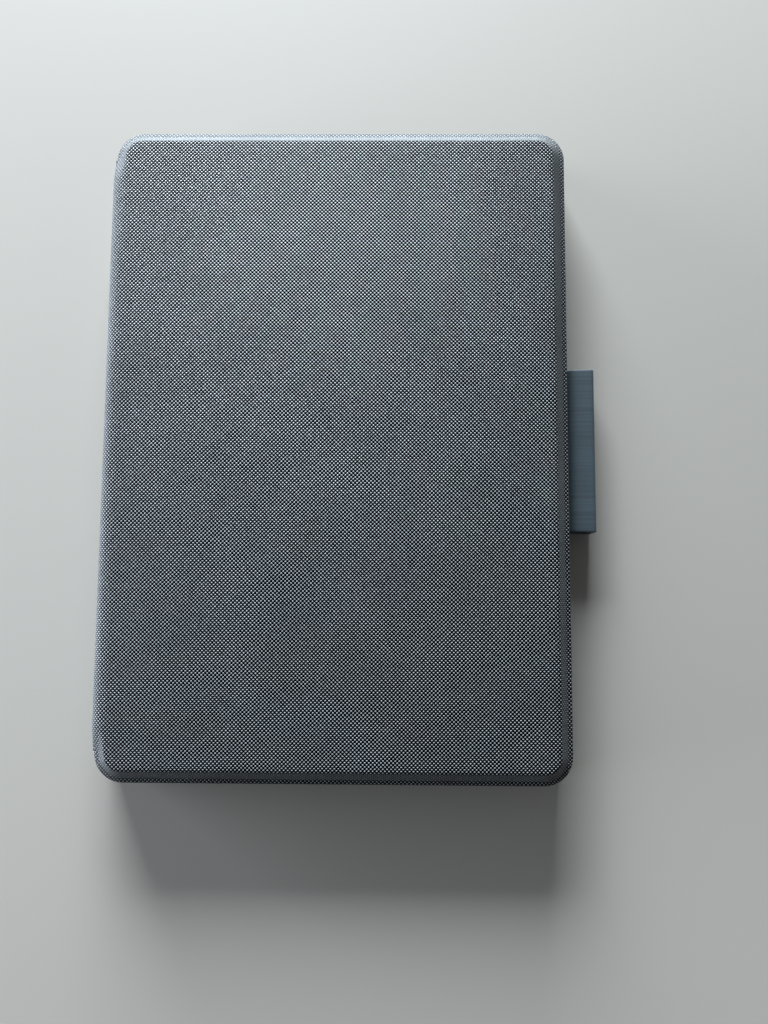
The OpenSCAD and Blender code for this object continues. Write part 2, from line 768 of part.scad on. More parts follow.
module battery_drawer() {
    color(deck_grey) difference() {
        box(drawer_cx - drawer_w / 2, drawer_cx + drawer_w / 2, -kb_y, drawer_d - kb_y,
            deck_z, deck_z + drawer_h);
        cell_points() cylinder(cell_t + drill_over, cell_d / 2 + cell_air, cell_d / 2 + cell_air);
        translate([drawer_cx - cell_d / 4, -kb_y, deck_z + drawer_h / 2]) rotate([0, 90, 0])
            cylinder(cell_d / 2, grip_r, grip_r);
    }
}

module coin_cells() {
    color("#c8ccd0") cell_points() {
        cylinder(cell_t / 2, cell_d / 2 - cell_step, cell_d / 2 - cell_step);
        translate([0, 0, cell_step_h]) cylinder(cell_t - cell_step_h, cell_d / 2, cell_d / 2);
    }
}

// Bent leaf contacts that hang from the chassis floor over each cell
module battery_contacts() {
    low = deck_z + drawer_h + contact_gap;
    leaf = cell_d / 2;
    color("#c9a44c") cell_points() for (x = [-cell_d / 4, cell_d / 4])
        translate([x + contact_w / 2, 0, -deck_z - drawer_floor]) rotate([90, 0, -90])
            linear_extrude(contact_w) polygon([[-leaf / 2, chassis_in], [-leaf / 2, chassis_in - contact_t],
                [-leaf / 4, chassis_in - contact_t], [leaf / 4, low], [leaf / 2, low],
                [leaf / 2, low + contact_t], [leaf / 4 + contact_t / 2, low + contact_t],
                [contact_t - leaf / 4, chassis_in]]);
}

bottom_fabric();
main_board();
stand_board();
bottom_lining();
tray_adhesive();
tablet_tray();
tray_steel_strip();
camera_ring();
power_button();
volume_button(0);  // volume_up_button
volume_button(1);  // volume_down_button
stylus_loop();
spine_fabric();
spine_board();
spine_lining();
top_cover_fabric();
top_cover_shell();
keyboard_chassis();
keyboard_deck();
key_frame();
key_backing_plate();
key_membrane();
controller_board();
ribbon_cable();
status_light();
dock_grip_strip();
dock_magnets();
closing_magnets();
chassis_screws();
battery_drawer();
coin_cells();
battery_contacts();
row_caps(FN, fn_x, fn_pitch);  // keys_function_row
row_caps(NUMBER, row_x(4), row_pitch);  // keys_number_row
row_caps(UPPER, row_x(3), row_pitch);  // keys_upper_row
row_caps(HOME, row_x(2), row_pitch);  // keys_home_row
row_caps(LOWER, row_x(1), row_pitch);  // keys_lower_row
row_caps(MODIFIER, row_x(0), row_pitch, SPACE);  // keys_modifier_row
space_cap();  // key_space
row_scissors(FN, fn_x, fn_pitch);  // scissors_function_row
row_scissors(NUMBER, row_x(4), row_pitch);  // scissors_number_row
row_scissors(UPPER, row_x(3), row_pitch);  // scissors_upper_row
row_scissors(HOME, row_x(2), row_pitch);  // scissors_home_row
row_scissors(LOWER, row_x(1), row_pitch);  // scissors_lower_row
row_scissors(MODIFIER, row_x(0), row_pitch, SPACE);  // scissors_modifier_row
space_scissors();  // scissors_space
row_domes(FN, fn_x, fn_pitch);  // domes_function_row
row_domes(NUMBER, row_x(4), row_pitch);  // domes_number_row
row_domes(UPPER, row_x(3), row_pitch);  // domes_upper_row
row_domes(HOME, row_x(2), row_pitch);  // domes_home_row
row_domes(LOWER, row_x(1), row_pitch);  // domes_lower_row
row_domes(MODIFIER, row_x(0), row_pitch, SPACE);  // domes_modifier_row
space_dome();  // domes_space
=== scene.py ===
"""Looks of a keyboard folio case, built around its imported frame.

The case lies closed on its lower half. Sizes in the classes are in millimetres; meshes are written
in metres, in the frame's own axes: +X to the free edge, +Y along the spine, +Z up.
"""

import json
import logging
import math
from dataclasses import dataclass, field
from enum import Enum

import bmesh
import bpy
import numpy as np
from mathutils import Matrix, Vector
from mathutils.geometry import tessellate_polygon


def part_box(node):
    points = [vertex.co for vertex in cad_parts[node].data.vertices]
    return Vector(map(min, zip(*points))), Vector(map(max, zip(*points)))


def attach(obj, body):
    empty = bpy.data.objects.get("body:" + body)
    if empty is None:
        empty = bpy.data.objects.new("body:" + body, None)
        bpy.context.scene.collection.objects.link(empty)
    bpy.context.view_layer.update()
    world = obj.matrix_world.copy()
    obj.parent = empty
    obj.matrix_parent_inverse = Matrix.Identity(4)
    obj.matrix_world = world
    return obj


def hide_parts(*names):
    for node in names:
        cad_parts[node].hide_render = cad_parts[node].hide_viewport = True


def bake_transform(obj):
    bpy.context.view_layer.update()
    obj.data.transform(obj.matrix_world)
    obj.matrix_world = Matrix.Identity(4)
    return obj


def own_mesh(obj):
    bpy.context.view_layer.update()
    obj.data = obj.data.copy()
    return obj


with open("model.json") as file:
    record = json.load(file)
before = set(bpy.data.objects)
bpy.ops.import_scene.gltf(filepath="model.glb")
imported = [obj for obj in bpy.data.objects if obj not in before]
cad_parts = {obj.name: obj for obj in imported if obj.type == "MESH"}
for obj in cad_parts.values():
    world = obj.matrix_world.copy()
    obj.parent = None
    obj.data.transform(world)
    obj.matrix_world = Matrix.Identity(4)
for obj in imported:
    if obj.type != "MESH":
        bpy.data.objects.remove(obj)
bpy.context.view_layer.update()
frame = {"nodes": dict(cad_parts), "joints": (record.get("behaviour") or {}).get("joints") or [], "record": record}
LOG = logging.getLogger("folio")
MM = 0.001
CLOTH_UV = "cloth"
# Points this close, in millimetres, become one in a built mesh and in a copy of a CAD mesh.
WELD_MM = 0.002
MERGE_MM = 0.004
# CAD faces that turn less than the first angle are joined; edges that turn more than the second
# are rounded or stay sharp.
FLAT_DEG = 0.6
SHARP_DEG = 32
# Blender's band texture turns this many radians over one unit.
WAVE_RATE = 20


# ---------------------------------------------------------------- small tools


def box_mm(node: str) -> tuple[np.ndarray, np.ndarray]:
    """A CAD node's lowest and highest corners.

    Args:
        node: name of the CAD node.

    Returns:
        The two corners in millimetres.
    """
    low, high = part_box(node)
    return np.array(low) / MM, np.array(high) / MM


def linear(code: str) -> tuple[float, float, float, float]:
    """An sRGB hex colour as linear red, green, blue and an alpha of 1.

    The sRGB curve is a straight toe up to 0.04045 and a power of 2.4 above it.

    Args:
        code: a colour such as "#3c4043".

    Returns:
        Four numbers from 0 to 1.
    """
    srgb = np.array([int(code[i:i + 2], 16) for i in (1, 3, 5)]) / 255
    toe = srgb / 12.92
    curve = ((srgb + 0.055) / 1.055) ** 2.4
    red, green, blue = np.where(srgb <= 0.04045, toe, curve)
    return float(red), float(green), float(blue), 1.0


def smooth_step(value: np.ndarray) -> np.ndarray:
    """Rises from 0 to 1 as value does, level at both ends.

    Args:
        value: any numbers; below 0 gives 0 and above 1 gives 1.

    Returns:
        The smoothed numbers.
    """
    t = np.clip(value, 0, 1)
    return t * t * (3 - 2 * t)


def grid_faces(rows: int, columns: int, wrap: bool, flip: bool = False, start: int = 0) -> list:
    """Quads of a grid of vertices that are numbered row by row.

    Args:
        rows: number of rows.
        columns: number of vertices in a row.
        wrap: whether each row closes on itself.
        flip: whether to turn the quads over.
        start: number of the grid's first vertex.

    Returns:
        Lists of four vertex numbers.
    """
    row = np.arange(rows - 1)[:, None]
    column = np.arange(columns if wrap else columns - 1)[None, :]
    after = (column + 1) % columns
    corners = [row * columns + column, (row + 1) * columns + column,
               (row + 1) * columns + after, row * columns + after]
    quads = np.stack([np.broadcast_to(c, (rows - 1, column.size)) for c in corners], -1)
    quads = quads.reshape(-1, 4) + start
    return (quads[:, ::-1] if flip else quads).tolist()


def tube_faces(rows: int, columns: int, flip: bool = False) -> list:
    """Faces of a tube of closed rings, with one face over each end, all looking the same way.

    Args:
        rows: number of rings.
        columns: number of vertices in a ring.
        flip: whether to turn the faces over.

    Returns:
        Lists of vertex numbers.
    """
    ring = np.arange(columns)
    first, last = (ring[::-1], ring) if flip else (ring, ring[::-1])
    ends = [first.tolist(), (last + (rows - 1) * columns).tolist()]
    return grid_faces(rows, columns, wrap=True, flip=flip) + ends


def rounded_path(points: list, cuts: list, steps: int = 5) -> np.ndarray:
    """A polyline whose inner corners are rounded.

    Each corner is replaced by the parabola that leaves the line a cut before the corner and joins
    the next line a cut after it: (1-t)^2 a + 2t(1-t) corner + t^2 b.

    Args:
        points: the polyline's points, as (across, height) pairs.
        cuts: how far from each inner corner its rounding starts.
        steps: how many points each rounding has.

    Returns:
        An array of points, the two ends among them.
    """
    line = np.array(points, float)
    t = np.linspace(0, 1, steps)[:, None]
    parts = [line[:1]]
    for i, cut in enumerate(cuts, 1):
        back = (line[i - 1] - line[i]) / np.linalg.norm(line[i - 1] - line[i])
        onward = (line[i + 1] - line[i]) / np.linalg.norm(line[i + 1] - line[i])
        first = line[i] + back * cut
        last = line[i] + onward * cut
        parts.append((1 - t) ** 2 * first + 2 * t * (1 - t) * line[i] + t ** 2 * last)
    return np.vstack(parts + [line[-1:]])


def arc_lengths(path: np.ndarray) -> np.ndarray:
    """Distance along a path of points, from its first point.

    Args:
        path: an array whose first axis runs along the path.

    Returns:
        The distances, one for each point of the path.
    """
    steps = np.linalg.norm(np.diff(path, axis=0), axis=-1)
    return np.concatenate([np.zeros_like(steps[:1]), np.cumsum(steps, axis=0)])


def make_piece(name: str, vertices: np.ndarray, faces: list,
               uv: np.ndarray | None = None) -> bpy.types.Object:
    """Puts vertices and faces into a new mesh object at the origin.

    Args:
        name: the piece's name.
        vertices: its points in millimetres, one row each.
        faces: lists of vertex numbers.
        uv: a flat place in millimetres for each vertex, for cloth.

    Returns:
        The new object, shaded smooth.
    """
    mesh = bpy.data.meshes.new(name)
    mesh.from_pydata((np.asarray(vertices) * MM).tolist(), [], faces)
    if uv is not None:
        corner = np.empty(len(mesh.loops), np.int32)
        mesh.loops.foreach_get("vertex_index", corner)
        layer = mesh.uv_layers.new(name=CLOTH_UV)
        layer.data.foreach_set("uv", np.asarray(uv, np.float32)[corner].ravel())
    mesh.shade_smooth()
    mesh.update()
    piece = bpy.data.objects.new(name, mesh)
    bpy.context.scene.collection.objects.link(piece)
    return piece


def weld(piece: bpy.types.Object) -> None:
    """Makes points at the same place one and turns a closed surface's faces outwards.

    Args:
        piece: the object.
    """
    shape = bmesh.new()
    shape.from_mesh(piece.data)
    bmesh.ops.remove_doubles(shape, verts=shape.verts, dist=WELD_MM * MM)
    bmesh.ops.recalc_face_normals(shape, faces=shape.faces)
    shape.to_mesh(piece.data)
    shape.free()


def solidify(piece: bpy.types.Object, thickness: float) -> None:
    """Gives an open surface a wall, grown inwards from its outer face.

    Args:
        piece: the object.
        thickness: the wall in millimetres.
    """
    wall = piece.modifiers.new("wall", "SOLIDIFY")
    wall.thickness = thickness * MM
    wall.offset = -1
    wall.use_even_offset = True


def solid_boxes(node: str) -> list[tuple[np.ndarray, np.ndarray]]:
    """The boxes of the separate solids in one CAD node, from +Y to -Y.

    Corners at the same place are made one, and each solid's corners are then given the lowest
    number that reaches them over the triangles.

    Args:
        node: name of the CAD node.

    Returns:
        For each solid its lowest and highest corner in millimetres.
    """
    mesh = frame["nodes"][node].data
    points = np.empty(len(mesh.vertices) * 3)
    mesh.vertices.foreach_get("co", points)
    points = points.reshape(-1, 3) / MM
    corner = np.empty(len(mesh.loops), np.int32)
    mesh.loops.foreach_get("vertex_index", corner)
    _, same = np.unique(np.round(points, 2), axis=0, return_inverse=True)
    same = same.ravel()
    triangles = same[corner].reshape(-1, 3)
    label = np.arange(same.max() + 1)
    while True:
        lower = label.copy()
        np.minimum.at(lower, triangles.ravel(), np.repeat(label[triangles].min(1), 3))
        lower = lower[lower]
        if np.array_equal(lower, label):
            break
        label = lower
    owner = label[same]
    boxes = [(points[owner == k].min(0), points[owner == k].max(0)) for k in np.unique(owner)]
    return sorted(boxes, key=lambda b: -(b[0][1] + b[1][1]))


def softened(node: str, name: str, width: float, segments: int = 2) -> bpy.types.Object:
    """A copy of a CAD node with its sharp edges rounded, which stands for the node.

    The copy's corners are merged and its flat areas joined, and every edge that turns more than
    SHARP_DEG is bevelled.

    Args:
        node: name of the CAD node.
        name: the new piece's name.
        width: width of the rounding in millimetres; 0 leaves the edges sharp.
        segments: number of faces across each rounding.

    Returns:
        The new object.
    """
    mesh = frame["nodes"][node].data.copy()
    mesh.name = name
    shape = bmesh.new()
    shape.from_mesh(mesh)
    bmesh.ops.remove_doubles(shape, verts=shape.verts, dist=MERGE_MM * MM)
    bmesh.ops.dissolve_limit(shape, angle_limit=math.radians(FLAT_DEG), verts=shape.verts,
                             edges=shape.edges)
    shape.to_mesh(mesh)
    shape.free()
    mesh.materials.clear()
    mesh.shade_smooth()
    piece = bpy.data.objects.new(name, mesh)
    bpy.context.scene.collection.objects.link(piece)
    if width > 0:
        edge = piece.modifiers.new("rounding", "BEVEL")
        edge.width = width * MM
        edge.segments = segments
        edge.limit_method = "ANGLE"
        edge.angle_limit = math.radians(SHARP_DEG)
        edge.harden_normals = True
    else:
        mesh.set_sharp_from_angle(angle=math.radians(SHARP_DEG))
    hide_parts(node)
    return piece


def lathe(profile: np.ndarray, centre: tuple[float, float], turns: int,
          name: str) -> bpy.types.Object:
    """A profile turned about an upright axis.

    Args:
        profile: (radius, height) points; a radius of 0 at an end closes it in a pole, and a
            profile that ends where it starts closes on itself.
        centre: the axis's x and y.
        turns: number of points around.
        name: the piece's name.

    Returns:
        The new object. A point lies at centre + radius (cos a, sin a), at its height.
    """
    angle = np.linspace(0, 2 * math.pi, turns, endpoint=False)
    radius, height = profile[:, :1], profile[:, 1:]
    x = centre[0] + radius * np.cos(angle)
    y = centre[1] + radius * np.sin(angle)
    z = np.broadcast_to(height, x.shape)
    points = np.stack([x, y, z], -1).reshape(-1, 3)
    piece = make_piece(name, points, grid_faces(len(profile), turns, wrap=True, flip=True))
    weld(piece)
    return piece


def dress(piece: bpy.types.Object, material: bpy.types.Material, body: str) -> None:
    """Gives a piece its material and its body, and reports it.

    Args:
        piece: the object.
        material: what it wears.
        body: the CAD body it rides on, or an empty name, which leaves it on none.
    """
    piece.data.materials.clear()
    piece.data.materials.append(material)
    if body:
        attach(piece, body)
    LOG.info("%s: %d faces, %s", piece.name, len(piece.data.polygons), material.name)


# ---------------------------------------------------------------- finishes


def add_node(tree: bpy.types.NodeTree, kind: str, settings: dict | None = None,
             values: dict | None = None, links: dict | None = None) -> bpy.types.Node:
    """Adds a shader node with its settings, input values and links.

    Args:
        tree: the node tree.
        kind: the node's type.
        settings: its properties by name.
        values: its input values by name or number.
        links: the sockets that feed its inputs, by name or number.

    Returns:
        The new node.
    """
    made = tree.nodes.new(kind)
    for name, value in (settings or {}).items():
        setattr(made, name, value)
    for name, value in (values or {}).items():
        made.inputs[name].default_value = value
    feed(tree, made, links or {})
    return made


def feed(tree: bpy.types.NodeTree, node: bpy.types.Node, links: dict) -> None:
    """Links sockets to a node's inputs, in place of what fed them before.

    Args:
        tree: the node tree.
        node: the node that is fed.
        links: the sockets that feed its inputs, by name or number.
    """
    for name, socket in links.items():
        tree.links.new(socket, node.inputs[name])


class Grain(Enum):
    """How a surface's fine relief runs."""

    SPARK = (1.0, 1.0, 1.0)
    BRUSHED = (1.0, 0.04, 1.0)
    ROLLED = (1.0, 0.35, 1.0)


@dataclass(frozen=True)
class Finish:
    """A finish whose relief is an even fine grain with slow changes of tone.

    Colours are sRGB hex. Grain and mottle sizes are in millimetres. The tone is the slow noise
    plus fine_share of the fine one; over tone_span it goes from shade to colour, and the fine
    noise goes over worn_span from the smoothest to the roughest.
    """

    name: str
    colour: str
    shade: str
    roughness: float
    roughness_spread: float = 0.08
    grain_mm: float = 0.3
    grain_depth_mm: float = 0.02
    mottle_mm: float = 25.0
    grain: Grain = Grain.SPARK
    ior: float = 1.5
    metallic: float = 0.0
    sheen: float = 0.0
    sheen_colour: str = "#ffffff"
    sheen_roughness: float = 0.4
    coat: float = 0.0
    transmission: float = 0.0
    fine_share: float = 0.35
    tone_span: tuple[float, float] = (0.45, 0.9)
    worn_span: tuple[float, float] = (0.3, 0.7)

    def material(self) -> bpy.types.Material:
        """The finish as a material, made once and then shared."""
        known = bpy.data.materials.get(self.name)
        if known:
            return known
        made = bpy.data.materials.new(self.name)
        made.use_nodes = True
        made.diffuse_color = linear(self.colour)
        tree = made.node_tree
        tree.nodes.clear()
        shader = add_node(tree, "ShaderNodeBsdfPrincipled", values={
            "IOR": self.ior, "Metallic": self.metallic, "Sheen Weight": self.sheen,
            "Sheen Tint": linear(self.sheen_colour), "Sheen Roughness": self.sheen_roughness,
            "Coat Weight": self.coat, "Transmission Weight": self.transmission,
            "Roughness": self.roughness})
        add_node(tree, "ShaderNodeOutputMaterial", links={"Surface": shader.outputs["BSDF"]})
        self.pattern(tree, shader)
        return made

    def place(self, tree: bpy.types.NodeTree) -> bpy.types.NodeSocket:
        """The vector socket of object coordinates in millimetres, stretched along the grain."""
        where = add_node(tree, "ShaderNodeTexCoord")
        scaled = add_node(tree, "ShaderNodeVectorMath", {"operation": "MULTIPLY"},
                          {1: tuple(s / MM for s in self.grain.value)},
                          {0: where.outputs["Object"]})
        return scaled.outputs["Vector"]

    def pattern(self, tree: bpy.types.NodeTree, shader: bpy.types.Node) -> None:
        """Adds grain, mottle and relief.

        Args:
            tree: the material's node tree.
            shader: its Principled node.
        """
        place = self.place(tree)
        fine = add_node(tree, "ShaderNodeTexNoise", values={
            "Scale": 1 / self.grain_mm, "Detail": 3.0, "Roughness": 0.6}, links={"Vector": place})
        slow = add_node(tree, "ShaderNodeTexNoise", values={
            "Scale": 1 / self.mottle_mm, "Detail": 4.0}, links={"Vector": place})
        tone = add_node(tree, "ShaderNodeMath", {"operation": "MULTIPLY_ADD"},
                        {1: self.fine_share}, {0: fine.outputs[0], 2: slow.outputs[0]})
        spread = add_node(tree, "ShaderNodeMapRange", values={
            "From Min": self.tone_span[0], "From Max": self.tone_span[1]},
            links={"Value": tone.outputs[0]})
        colour = add_node(tree, "ShaderNodeMix", {"data_type": "RGBA"},
                          {6: linear(self.shade), 7: linear(self.colour)},
                          {0: spread.outputs[0]})
        rough = add_node(tree, "ShaderNodeMapRange", values={
            "From Min": self.worn_span[0], "From Max": self.worn_span[1],
            "To Min": self.roughness - self.roughness_spread,
            "To Max": self.roughness + self.roughness_spread}, links={"Value": fine.outputs[0]})
        relief = add_node(tree, "ShaderNodeBump", values={
            "Strength": 1.0, "Distance": self.grain_depth_mm * MM},
            links={"Height": fine.outputs[0]})
        feed(tree, shader, {"Base Color": colour.outputs[2], "Roughness": rough.outputs[0],
                            "Normal": relief.outputs[0]})


@dataclass(frozen=True)
class WovenCloth(Finish):
    """Plain-woven polyester: light yarn one way over near-black yarn the other way.

    The cloth's own UV map is in millimetres. One yarn crossing is a square of yarn_mm, light and
    dark by turns, and each crossing bulges: the sine of its place across and along the yarn. A
    light crossing shows as a dot where its bulge passes over the crown's two heights; off the crown
    it takes the near-black colour, partly the yarn dipping under and partly painted shade.

    Seen at a slant, the light crowns hide the dark gaps. From the merging slants the pattern
    therefore fades, by merged_most at the most, into one even cloth of which merged_share is light.
    What isn't shown light is given the metallic response, near-black and with no pale haze from a
    dielectric surface over it: painted shade, which stands in for the shadow the crowns cast into
    the gaps between the yarns.
    """

    yarn_mm: float = 0.75
    yarn_depth_mm: float = 0.16
    wander_mm: float = 0.35
    wander_rate: float = 0.03
    yarn_power: float = 0.5
    gap_roughness: float = 0.5
    crown: tuple[float, float] = (0.25, 0.75)
    merging: tuple[float, float] = (0.18, 0.5)
    merged_share: float = 0.36
    merged_most: float = 0.6
    merged_roughness: float = 0.62
    chance_share: float = 0.45
    uneven_span: tuple[float, float] = (0.4, 1.1)
    weakest: float = 0.7

    def pattern(self, tree: bpy.types.NodeTree, shader: bpy.types.Node) -> None:
        """Adds the woven crossings, their relief and the yarn's uneven tone.

        Args:
            tree: the material's node tree.
            shader: its Principled node.
        """
        flat = add_node(tree, "ShaderNodeUVMap", {"uv_map": CLOTH_UV})
        drift = add_node(tree, "ShaderNodeTexNoise", values={
            "Scale": self.wander_rate, "Detail": 1.0}, links={"Vector": flat.outputs[0]})
        moved = add_node(tree, "ShaderNodeVectorMath", {"operation": "MULTIPLY_ADD"},
                         {1: (self.wander_mm,) * 3}, {0: drift.outputs["Color"], 2: flat.outputs[0]})
        cells = add_node(tree, "ShaderNodeVectorMath", {"operation": "SCALE"},
                         {"Scale": 1 / self.yarn_mm}, {0: moved.outputs[0]})
        whole = add_node(tree, "ShaderNodeVectorMath", {"operation": "FLOOR"},
                         links={0: cells.outputs[0]})
        part = add_node(tree, "ShaderNodeVectorMath", {"operation": "FRACTION"},
                        links={0: cells.outputs[0]})
        count = add_node(tree, "ShaderNodeSeparateXYZ", links={0: whole.outputs[0]})
        inside = add_node(tree, "ShaderNodeSeparateXYZ", links={0: part.outputs[0]})
        total = add_node(tree, "ShaderNodeMath", {"operation": "ADD"},
                         links={0: count.outputs[0], 1: count.outputs[1]})
        light_up = add_node(tree, "ShaderNodeMath", {"operation": "FLOORED_MODULO"}, {1: 2.0},
                            {0: total.outputs[0]})
        hills = []
        for side in (0, 1):
            turned = add_node(tree, "ShaderNodeMath", {"operation": "MULTIPLY"}, {1: math.pi},
                              {0: inside.outputs[side]})
            hills.append(add_node(tree, "ShaderNodeMath", {"operation": "SINE"},
                                  links={0: turned.outputs[0]}))
        bulges = []
        for across, along in (hills, hills[::-1]):
            round_off = add_node(tree, "ShaderNodeMath", {"operation": "POWER"},
                                 {1: self.yarn_power}, {0: across.outputs[0]})
            bulges.append(add_node(tree, "ShaderNodeMath", {"operation": "MULTIPLY"},
                                   links={0: round_off.outputs[0], 1: along.outputs[0]}))
        height = add_node(tree, "ShaderNodeMix", {"data_type": "FLOAT"},
                          links={0: light_up.outputs[0], 2: bulges[1].outputs[0],
                                 3: bulges[0].outputs[0]})
        # Off its crown a light crossing takes the near-black colour: partly the yarn dipping under, partly painted
        # shade between the yarns.
        crown = add_node(tree, "ShaderNodeMapRange", {"interpolation_type": "SMOOTHSTEP"},
                         {"From Min": self.crown[0], "From Max": self.crown[1]},
                         {"Value": bulges[0].outputs[0]})
        square_on = add_node(tree, "ShaderNodeMath", {"operation": "MULTIPLY"},
                             links={0: crown.outputs[0], 1: light_up.outputs[0]})
        slant = add_node(tree, "ShaderNodeLayerWeight", values={"Blend": 0.5})
        merging = add_node(tree, "ShaderNodeMapRange", values={
            "From Min": self.merging[0], "From Max": self.merging[1], "To Max": self.merged_most},
            links={"Value": slant.outputs["Facing"]})
        shown = add_node(tree, "ShaderNodeMix", {"data_type": "FLOAT"}, {3: self.merged_share},
                         {0: merging.outputs[0], 2: square_on.outputs[0]})
        chance = add_node(tree, "ShaderNodeTexWhiteNoise", {"noise_dimensions": "3D"},
                          links={"Vector": whole.outputs[0]})
        slow = add_node(tree, "ShaderNodeTexNoise", values={
            "Scale": 1 / self.mottle_mm, "Detail": 3.0}, links={"Vector": flat.outputs[0]})
        uneven = add_node(tree, "ShaderNodeMath", {"operation": "MULTIPLY_ADD"},
                          {1: self.chance_share}, {0: chance.outputs["Value"], 2: slow.outputs[0]})
        strength = add_node(tree, "ShaderNodeMapRange", values={
            "From Min": self.uneven_span[0], "From Max": self.uneven_span[1],
            "To Min": self.weakest, "To Max": 1.0}, links={"Value": uneven.outputs[0]})
        amount = add_node(tree, "ShaderNodeMath", {"operation": "MULTIPLY"},
                          links={0: shown.outputs[0], 1: strength.outputs[0]})
        colour = add_node(tree, "ShaderNodeMix", {"data_type": "RGBA"},
                          {6: linear(self.shade), 7: linear(self.colour)},
                          {0: amount.outputs[0]})
        yarn_rough = add_node(tree, "ShaderNodeMapRange", values={
            "To Min": self.gap_roughness, "To Max": self.roughness},
            links={"Value": amount.outputs[0]})
        rough = add_node(tree, "ShaderNodeMix", {"data_type": "FLOAT"},
                         {3: self.merged_roughness},
                         {0: merging.outputs[0], 2: yarn_rough.outputs[0]})
        relief = add_node(tree, "ShaderNodeBump", values={
            "Strength": 1.0, "Distance": self.yarn_depth_mm * MM},
            links={"Height": height.outputs[0]})
        # The metallic response on what isn't shown light is painted shade: near-black with no haze, like the
        # shadow between the yarns.
        painted_gap_shade = add_node(tree, "ShaderNodeMath", {"operation": "SUBTRACT", "use_clamp": True},
                       {0: 1.0}, {1: shown.outputs[0]})
        feed(tree, shader, {"Metallic": painted_gap_shade.outputs[0], "Base Color": colour.outputs[2],
                            "Roughness": rough.outputs[0], "Normal": relief.outputs[0]})


@dataclass(frozen=True)
class StreakedRubber(Finish):
    """Calendered elastomer with faint lines across it, left by the rolls it was drawn through."""

    streak_mm: float = 0.9
    streak_depth_mm: float = 0.02
    streak: str = "#3a4249"
    streak_share: float = 0.55
    streak_span: tuple[float, float] = (0.42, 0.66)
    drawn_out: tuple[float, float, float] = (0.02, 1.0, 0.1)

    def pattern(self, tree: bpy.types.NodeTree, shader: bpy.types.Node) -> None:
        """Adds the even grain and then the faint lines, a noise drawn out along X.

        Args:
            tree: the material's node tree.
            shader: its Principled node.
        """
        Finish.pattern(self, tree, shader)
        drawn = add_node(tree, "ShaderNodeVectorMath", {"operation": "MULTIPLY"},
                         {1: self.drawn_out}, {0: self.place(tree)})
        lines = add_node(tree, "ShaderNodeTexNoise", values={
            "Scale": 1 / self.streak_mm, "Detail": 3.0}, links={"Vector": drawn.outputs[0]})
        amount = add_node(tree, "ShaderNodeMapRange", values={
            "From Min": self.streak_span[0], "From Max": self.streak_span[1],
            "To Max": self.streak_share}, links={"Value": lines.outputs[0]})
        plain = shader.inputs["Base Color"].links[0].from_socket
        colour = add_node(tree, "ShaderNodeMix", {"data_type": "RGBA"},
                          {7: linear(self.streak)}, {0: amount.outputs[0], 6: plain})
        grain = shader.inputs["Normal"].links[0].from_socket
        relief = add_node(tree, "ShaderNodeBump", values={
            "Strength": 1.0, "Distance": self.streak_depth_mm * MM},
            links={"Height": lines.outputs[0], "Normal": grain})
        feed(tree, shader, {"Base Color": colour.outputs[2], "Normal": relief.outputs[0]})


@dataclass(frozen=True)
class PrintedTracks(Finish):
    """A board or film with printed tracks: bands in a second colour, broken by a slow noise."""

    track: str = "#b9bcc0"
    pitch_mm: float = 1.6
    track_share: float = 0.25
    track_edge: float = 0.05

    def pattern(self, tree: bpy.types.NodeTree, shader: bpy.types.Node) -> None:
        """Adds the even grain and then mixes the tracks into its colour.

        Args:
            tree: the material's node tree.
            shader: its Principled node.
        """
        Finish.pattern(self, tree, shader)
        place = self.place(tree)
        bands = add_node(tree, "ShaderNodeTexWave", {"bands_direction": "DIAGONAL"},
                         {"Scale": 2 * math.pi / self.pitch_mm / WAVE_RATE, "Distortion": 3.0,
                          "Detail": 0.0, "Detail Scale": 0.1}, {"Vector": place})
        lit = add_node(tree, "ShaderNodeMapRange", {"interpolation_type": "SMOOTHSTEP"},
                       {"From Min": 1 - self.track_share,
                        "From Max": 1 + self.track_edge - self.track_share},
                       {"Value": bands.outputs[1]})
        plain = shader.inputs["Base Color"].links[0].from_socket
        colour = add_node(tree, "ShaderNodeMix", {"data_type": "RGBA"},
                          {7: linear(self.track)}, {0: lit.outputs[0], 6: plain})
        feed(tree, shader, {"Base Color": colour.outputs[2]})


# Two-tone plain weave of polyester yarn with a resin back: light crossings stand as dots on
# near-black gaps, which are the dark yarn with painted shade over it, and the fibres' fuzz turns
# pale where they are seen edge on.
WOVEN_POLYESTER = WovenCloth(
    "woven_polyester", colour="#b0b6ba", shade="#050607", roughness=0.4, mottle_mm=30.0,
    ior=1.57, sheen=0.05, sheen_colour="#dff1fb", sheen_roughness=0.3)
# Brushed microfibre: soft, dark, with a short nap that lightens it at a low angle.
BRUSHED_MICROFIBRE = Finish(
    "brushed_microfibre", colour="#43464a", shade="#34373a", roughness=0.9, roughness_spread=0.05,
    grain_mm=0.25, grain_depth_mm=0.08, mottle_mm=18.0, sheen=0.6, sheen_colour="#aeb4bb")
# Injection-moulded thermoplastic polyurethane: a soft satin skin with a fine spark-eroded grain.
MOULDED_TPU = Finish(
    "moulded_tpu", colour="#2b2e31", shade="#232629", roughness=0.58, grain_mm=0.35,
    grain_depth_mm=0.02, mottle_mm=30.0, ior=1.5, sheen=0.08)
# Smooth calendered elastomer strip, folded and bonded: slate blue and satin.
CALENDERED_ELASTOMER = StreakedRubber(
    "calendered_elastomer", colour="#4c5a62", shade="#434f56", roughness=0.46,
    roughness_spread=0.06, grain_mm=0.4, grain_depth_mm=0.012, mottle_mm=16.0, ior=1.5, sheen=0.12,
    sheen_colour="#cfe3ee")
# Injection-moulded ABS with a spark-eroded grain: dark grey and matt.
MOULDED_ABS = Finish(
    "moulded_abs", colour="#33363a", shade="#2b2e31", roughness=0.6, grain_mm=0.28,
    grain_depth_mm=0.025, mottle_mm=40.0, ior=1.53)
